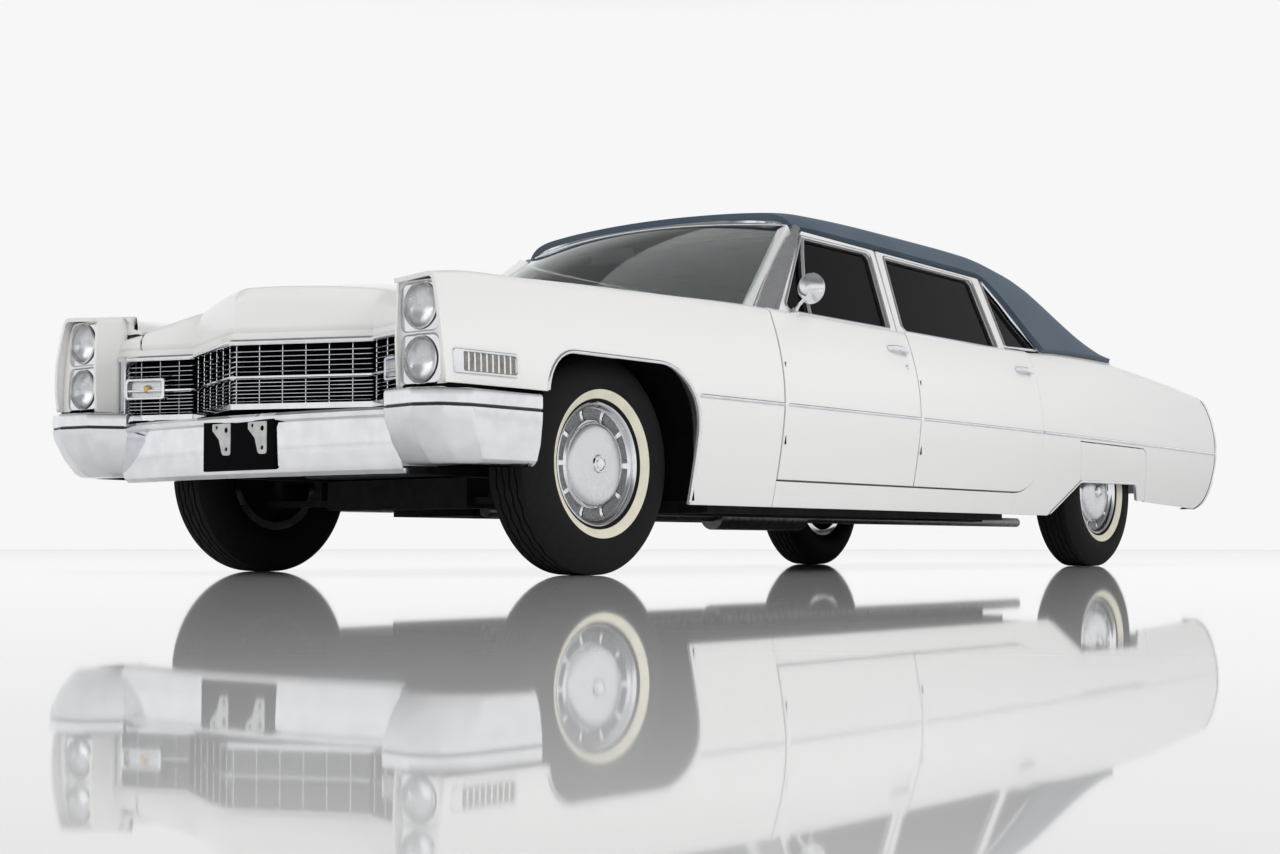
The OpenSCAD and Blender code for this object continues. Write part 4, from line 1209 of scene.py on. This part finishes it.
COVER_DISC = [(30, 80), (34, 79), (80, 79), (118, 75), (130, 71), (136, 66), (138, 58)]
COVER_BOSS = [(0.5, 88), (15, 87), (17, 84), (20, 84), (23, 87), (27, 86), (30, 80)]
COVER_BAND = [(137, 60), (141, 54), (150, 49), (165, 47), (180, 50), (187, 57), (190, 66), (194, 76),
              (199, 79), (203, 77), (204, 71), (195, 64), (188, 20), (172, -60), (176, -78), (205, -80)]
COVER_POCKET = [(146, 51), (156, 48.2), (170, 48), (182, 51.5)]
POCKETS = 10
WHEEL_BACK = [(20, 20), (60, 12), (165, 0), (174, -40)]


def build_cover(name, centre, body, s):
    """Bright wheel cover: a satin disc with a plain boss, and a dished band with mesh pockets."""
    lathe(f"cover_disc_{name}", COVER_DISC, centre, SATIN, body, 72, side=s, nodes=[f"wheel_{name}"])
    lathe(f"cover_boss_{name}", COVER_BOSS, centre, CHROME, body, 48, side=s)
    lathe(f"cover_band_{name}", COVER_BAND, centre, CHROME, body, 72, side=s)
    lathe(f"wheel_back_{name}", WHEEL_BACK, centre, CHASSIS, body, 48, side=s)
    pockets = []
    for k in range(POCKETS):
        rows = []
        for turn in spread(k + 0.08, k + 0.92, 8):
            a = turn * math.tau / POCKETS
            spoke = Vector((math.cos(a), 0, math.sin(a)))
            rows.append([centre + spoke * r + LEFT * (y + 1.5) for r, y in COVER_POCKET])
        pockets.append(loft_mesh(rows))
    add(f"cover_mesh_{name}", *merged(pockets), COVER_MESH, body, side=s)


def build_wheels():
    for axle, x in (("front", AXLE_F), ("rear", AXLE_R)):
        for side, s in SIDES.items():
            wheel = (f"{axle}_{side}", Vector((x, WHEEL_Y, HUB_Z)), f"wheel_{axle}_{side}", s)
            build_tyre(*wheel)
            build_cover(*wheel)


def build_handles():
    grip = [(-9, -5), (9, -5), (10, 0), (7, 5), (-7, 5), (-10, 0)]
    line = [(95, 4, 4), (84, 4, 22), (40, 3, 30), (-10, 0, 28), (-26, -1, 12), (-30, -1, 2)]
    button = [(0.5, 26), (9, 25), (12, 20), (12, 0)]
    z = 872
    for part, x in (("front", DOOR_B + 90), ("rear", DOOR_C + 92)):
        path = spline([body_side(x + ahead, z + up) + LEFT * out for ahead, up, out in line], 5)
        pair(sweep, f"handle_{part}", path, grip, LEFT, CHROME, body=f"door_{part}")
        spot = body_side(x - 28, z - 2)
        pair(lathe, f"handle_button_{part}", button, spot, CHROME, body=f"door_{part}", n=20)
    pair(lathe, "lock", [(0.5, 7), (4, 7), (9, 5), (11, 0)], body_side(DOOR_B + 66, 806), CHROME,
         body="door_front", n=20)


def build_mirror():
    door = "door_front_left"
    base = lean_point(1200, 950) + Vector((0, 14, 0))
    head = base + Vector((-12, 66, 92))
    stalk = spline([base + Vector((0, 0, -4)), base + Vector((2, 18, 30)), head + Vector((16, -6, -30))], 6)
    sweep("mirror_stalk", stalk, ring(0, 0, 7, 10), AHEAD, CHROME, door)
    bowl = [(0.5, 34), (24, 31), (44, 22), (56, 8), (58, 0), (56, -6), (0.5, -7)]
    lathe("mirror_head", bowl, head, CHROME, door, 40, "x")
    lathe("mirror_foot", [(0.5, 0), (26, 0), (20, 8), (10, 14), (0.5, 15)], base, CHROME, door, 24)


# Half width of the seats, and height of the crown of their cushions and backs
SEAT_HW = 735
CUSHION_CROWN = 30
BACK_CROWN = 26


def puff(u, v):
    """Rise of a padded face, with sewn channels."""
    return (1 - (2 * u - 1) ** 4) * (0.8 + 0.2 * abs(math.sin(v * math.pi * 10)))


def build_seats():
    vs = spread(0, 1, 60)
    for name, x0, x1 in (("front", 425, 995), ("rear", -900, -505)):
        rows = []
        for u in spread(0, 1, 14):
            x = x0 + (x1 - x0) * u
            rows.append([Vector((x, SEAT_HW * (2 * v - 1), 610 + CUSHION_CROWN * puff(u, v))) for v in vs])
        under = [[Vector((p.x, p.y, 485)) for p in row] for row in rows]
        shell(f"{name}_cushion", rows, under, CLOTH, "body", nodes=[f"{name}_seat"])
    for name, x0, x1 in (("front", 305, 425), ("rear", -1095, -900)):
        rows = []
        for u in spread(1, 0, 12):
            x, z = x1 - BACK_CROWN - 40 * u, 500 + 530 * u
            rows.append([Vector((x + BACK_CROWN * puff(u, v), SEAT_HW * (2 * v - 1), z)) for v in vs])
        behind = [[Vector((x0, p.y, p.z)) for p in row] for row in rows]
        shell(f"{name}_back", rows, behind, CLOTH, "body")


def build_steering():
    centre = Vector((1060, 380, 850))
    tilt = math.radians(115)
    ahead = Vector((math.sin(tilt), 0, math.cos(tilt)))
    up = Vector((math.cos(tilt), 0, -math.sin(tilt)))
    rim = [centre + up * p.x + LEFT * p.y for p in ring(0, 0, 195, 48)]
    sweep("steering_rim", rim, ring(0, 0, 11, 10), ahead, PLASTIC, "body", closed=True,
          nodes=["steering_wheel"])
    flat = [(-14, -4), (14, -4), (14, 4), (-14, 4)]
    for side, s in SIDES.items():
        spoke = [centre + ahead * 20, centre + ahead * 8 + LEFT * s * 190]
        sweep(f"steering_spoke_{side}", spoke, flat, ahead, CHROME, "body")
    column = [centre - ahead * 4, centre + ahead * 380]
    sweep("steering_column", column, ring(0, 0, 26, 20), up, PLASTIC, "body")


def build_cabin():
    outline = [(1320, 700), (1380, 690), (1590, 690), (1590, 900), (1480, 905), (1350, 880), (1325, 840)]
    stack("dashboard_pad", outline, [(-794, 6), (-790, 0), (790, 0), (794, 6)], PLASTIC, "body",
          place=lambda x, z, y: Vector((x, y, z)), nodes=["dashboard"])
    rows = []
    for x in spread(880, -1060, 60):
        drop = Vector((0, 0, 30 + 5 * math.sin(x * math.pi / 260) ** 8))
        rows.append([roof_point(x, s) - drop for s in spread(-620, 620, 24)])
    loft("headliner", rows, LINER, "body")
    visor = rounded([(770, 110, 25), (895, 110, 25), (858, 560, 25), (760, 560, 25)], 5)
    pair(stack, "sun_visor", visor, [(0, 8), (3, 2), (8, 0), (13, 2), (16, 8)], LINER,
         place=lambda x, y, z: Vector((x, y, 1345 + z - (x - 770) * 0.12 - 26 * (y / 600) ** 2)))
    block("rear_view_mirror", (1110, -110, 1235), (1122, 110, 1290), PLASTIC, "body")


def dress_frame():
    """Materials for the frame's own nodes that stay in view."""
    corners = [f"{axle}_{side}" for axle in ("front", "rear") for side in SIDES]
    looks = {
        PAINT: ["cowl", "center_posts", "tail_panel"] + [f"door_{c}" for c in corners],
        TINTED: [f"glass_{c}" for c in corners],
        CHASSIS: ["frame", "floor_pan", "rear_axle", "front_suspension", "fuel_tank", "hinges",
                  "knuckle_left", "knuckle_right"],
        STEEL: ["exhaust", "driveline"],
        ENGINE: ["engine"],
    }
    for m, nodes in looks.items():
        for node in nodes:
            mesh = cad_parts[node].data
            mesh.materials.clear()
            mesh.materials.append(m)


def put(name, data):
    """A new object of the scene."""
    obj = bpy.data.objects.new(name, data)
    bpy.context.scene.collection.objects.link(obj)
    return obj


def build_floor():
    size = 60
    mesh = bpy.data.meshes.new("floor")
    corners = [(-size, -size, 0), (size, -size, 0), (size, size, 0), (-size, size, 0)]
    mesh.from_pydata(corners, [], [(0, 1, 2, 3)])
    m = bpy.data.materials.new("pale_floor")
    m.use_nodes = True
    dress(m, Base_Color=(0.86, 0.86, 0.86, 1), Roughness=0.03)
    mesh.materials.append(m)
    put("floor", mesh)


def build_world():
    """A bright horizon that darkens overhead, a little dimmer as light than as a picture."""
    world = bpy.data.worlds.new("studio")
    bpy.context.scene.world = world
    world.use_nodes = True
    tree = world.node_tree
    place = shader(tree, "TexCoord")
    axes = shader(tree, "SeparateXYZ", Vector=place.outputs["Generated"])
    ramp = shader(tree, "ValToRGB", Fac=axes.outputs["Z"])
    stops = [(0.0, 0.93), (0.28, 0.93), (0.42, 0.50), (0.62, 0.22), (1.0, 0.30)]
    while len(ramp.color_ramp.elements) < len(stops):
        ramp.color_ramp.elements.new(0.5)
    for element, (position, level) in zip(ramp.color_ramp.elements, stops):
        element.position = position
        element.color = (level, level, level * 1.01, 1)
    rays = shader(tree, "LightPath")
    seen = rays.outputs["Is Camera Ray"]
    for ray in ("Is Glossy Ray", "Is Transmission Ray"):
        total = shader(tree, "Math")
        tree.links.new(seen, total.inputs[0])
        tree.links.new(rays.outputs[ray], total.inputs[1])
        seen = total.outputs["Value"]
    bright = shader(tree, "MapRange", Value=seen, To_Min=0.7, To_Max=1.0)
    plug(tree, tree.nodes["Background"], Color=ramp.outputs["Color"], Strength=bright.outputs["Result"])


def build_lights():
    """Three soft lamps as name, place, size and power, aimed at the middle of the car."""
    aim = Vector((0, 0, 0.5))
    for name, place, size, energy in (("key", (3, 8, 5), 6, 400), ("fill", (8, -3, 5), 6, 240),
                                      ("top", (-1, 0, 7), 8, 240)):
        light = bpy.data.lights.new(name, "AREA")
        light.size = size
        light.energy = energy
        lamp = put(name, light)
        lamp.location = place
        lamp.rotation_euler = (aim - Vector(place)).to_track_quat("-Z", "Y").to_euler()
        lamp.visible_glossy = False


def build_camera():
    data = bpy.data.cameras.new("camera")
    data.sensor_fit = "HORIZONTAL"
    data.sensor_width = 36
    data.lens = 51.545
    data.shift_y = 0.04396
    camera = put("camera", data)
    camera.location = (6.8308, 4.6774, 0.0914)
    camera.rotation_euler = (math.radians(92), 0, 3.8126 - math.pi / 2)
    bpy.context.scene.camera = camera


bpy.context.scene.view_settings.view_transform = "Standard"
build_camera()
build_floor()
build_world()
build_lights()
dress_frame()
build_front_fenders()
build_doors()
build_quarters()
build_sills()
build_side_trim()
build_hood()
build_lid()
build_roof()
build_deck()
build_windshield()
build_side_windows()
build_lamps()
build_grille()
build_signal_lamps()
build_front_bumper()
build_cornering_lamps()
build_tail()
build_wheels()
build_handles()
build_mirror()
build_seats()
build_steering()
build_cabin()
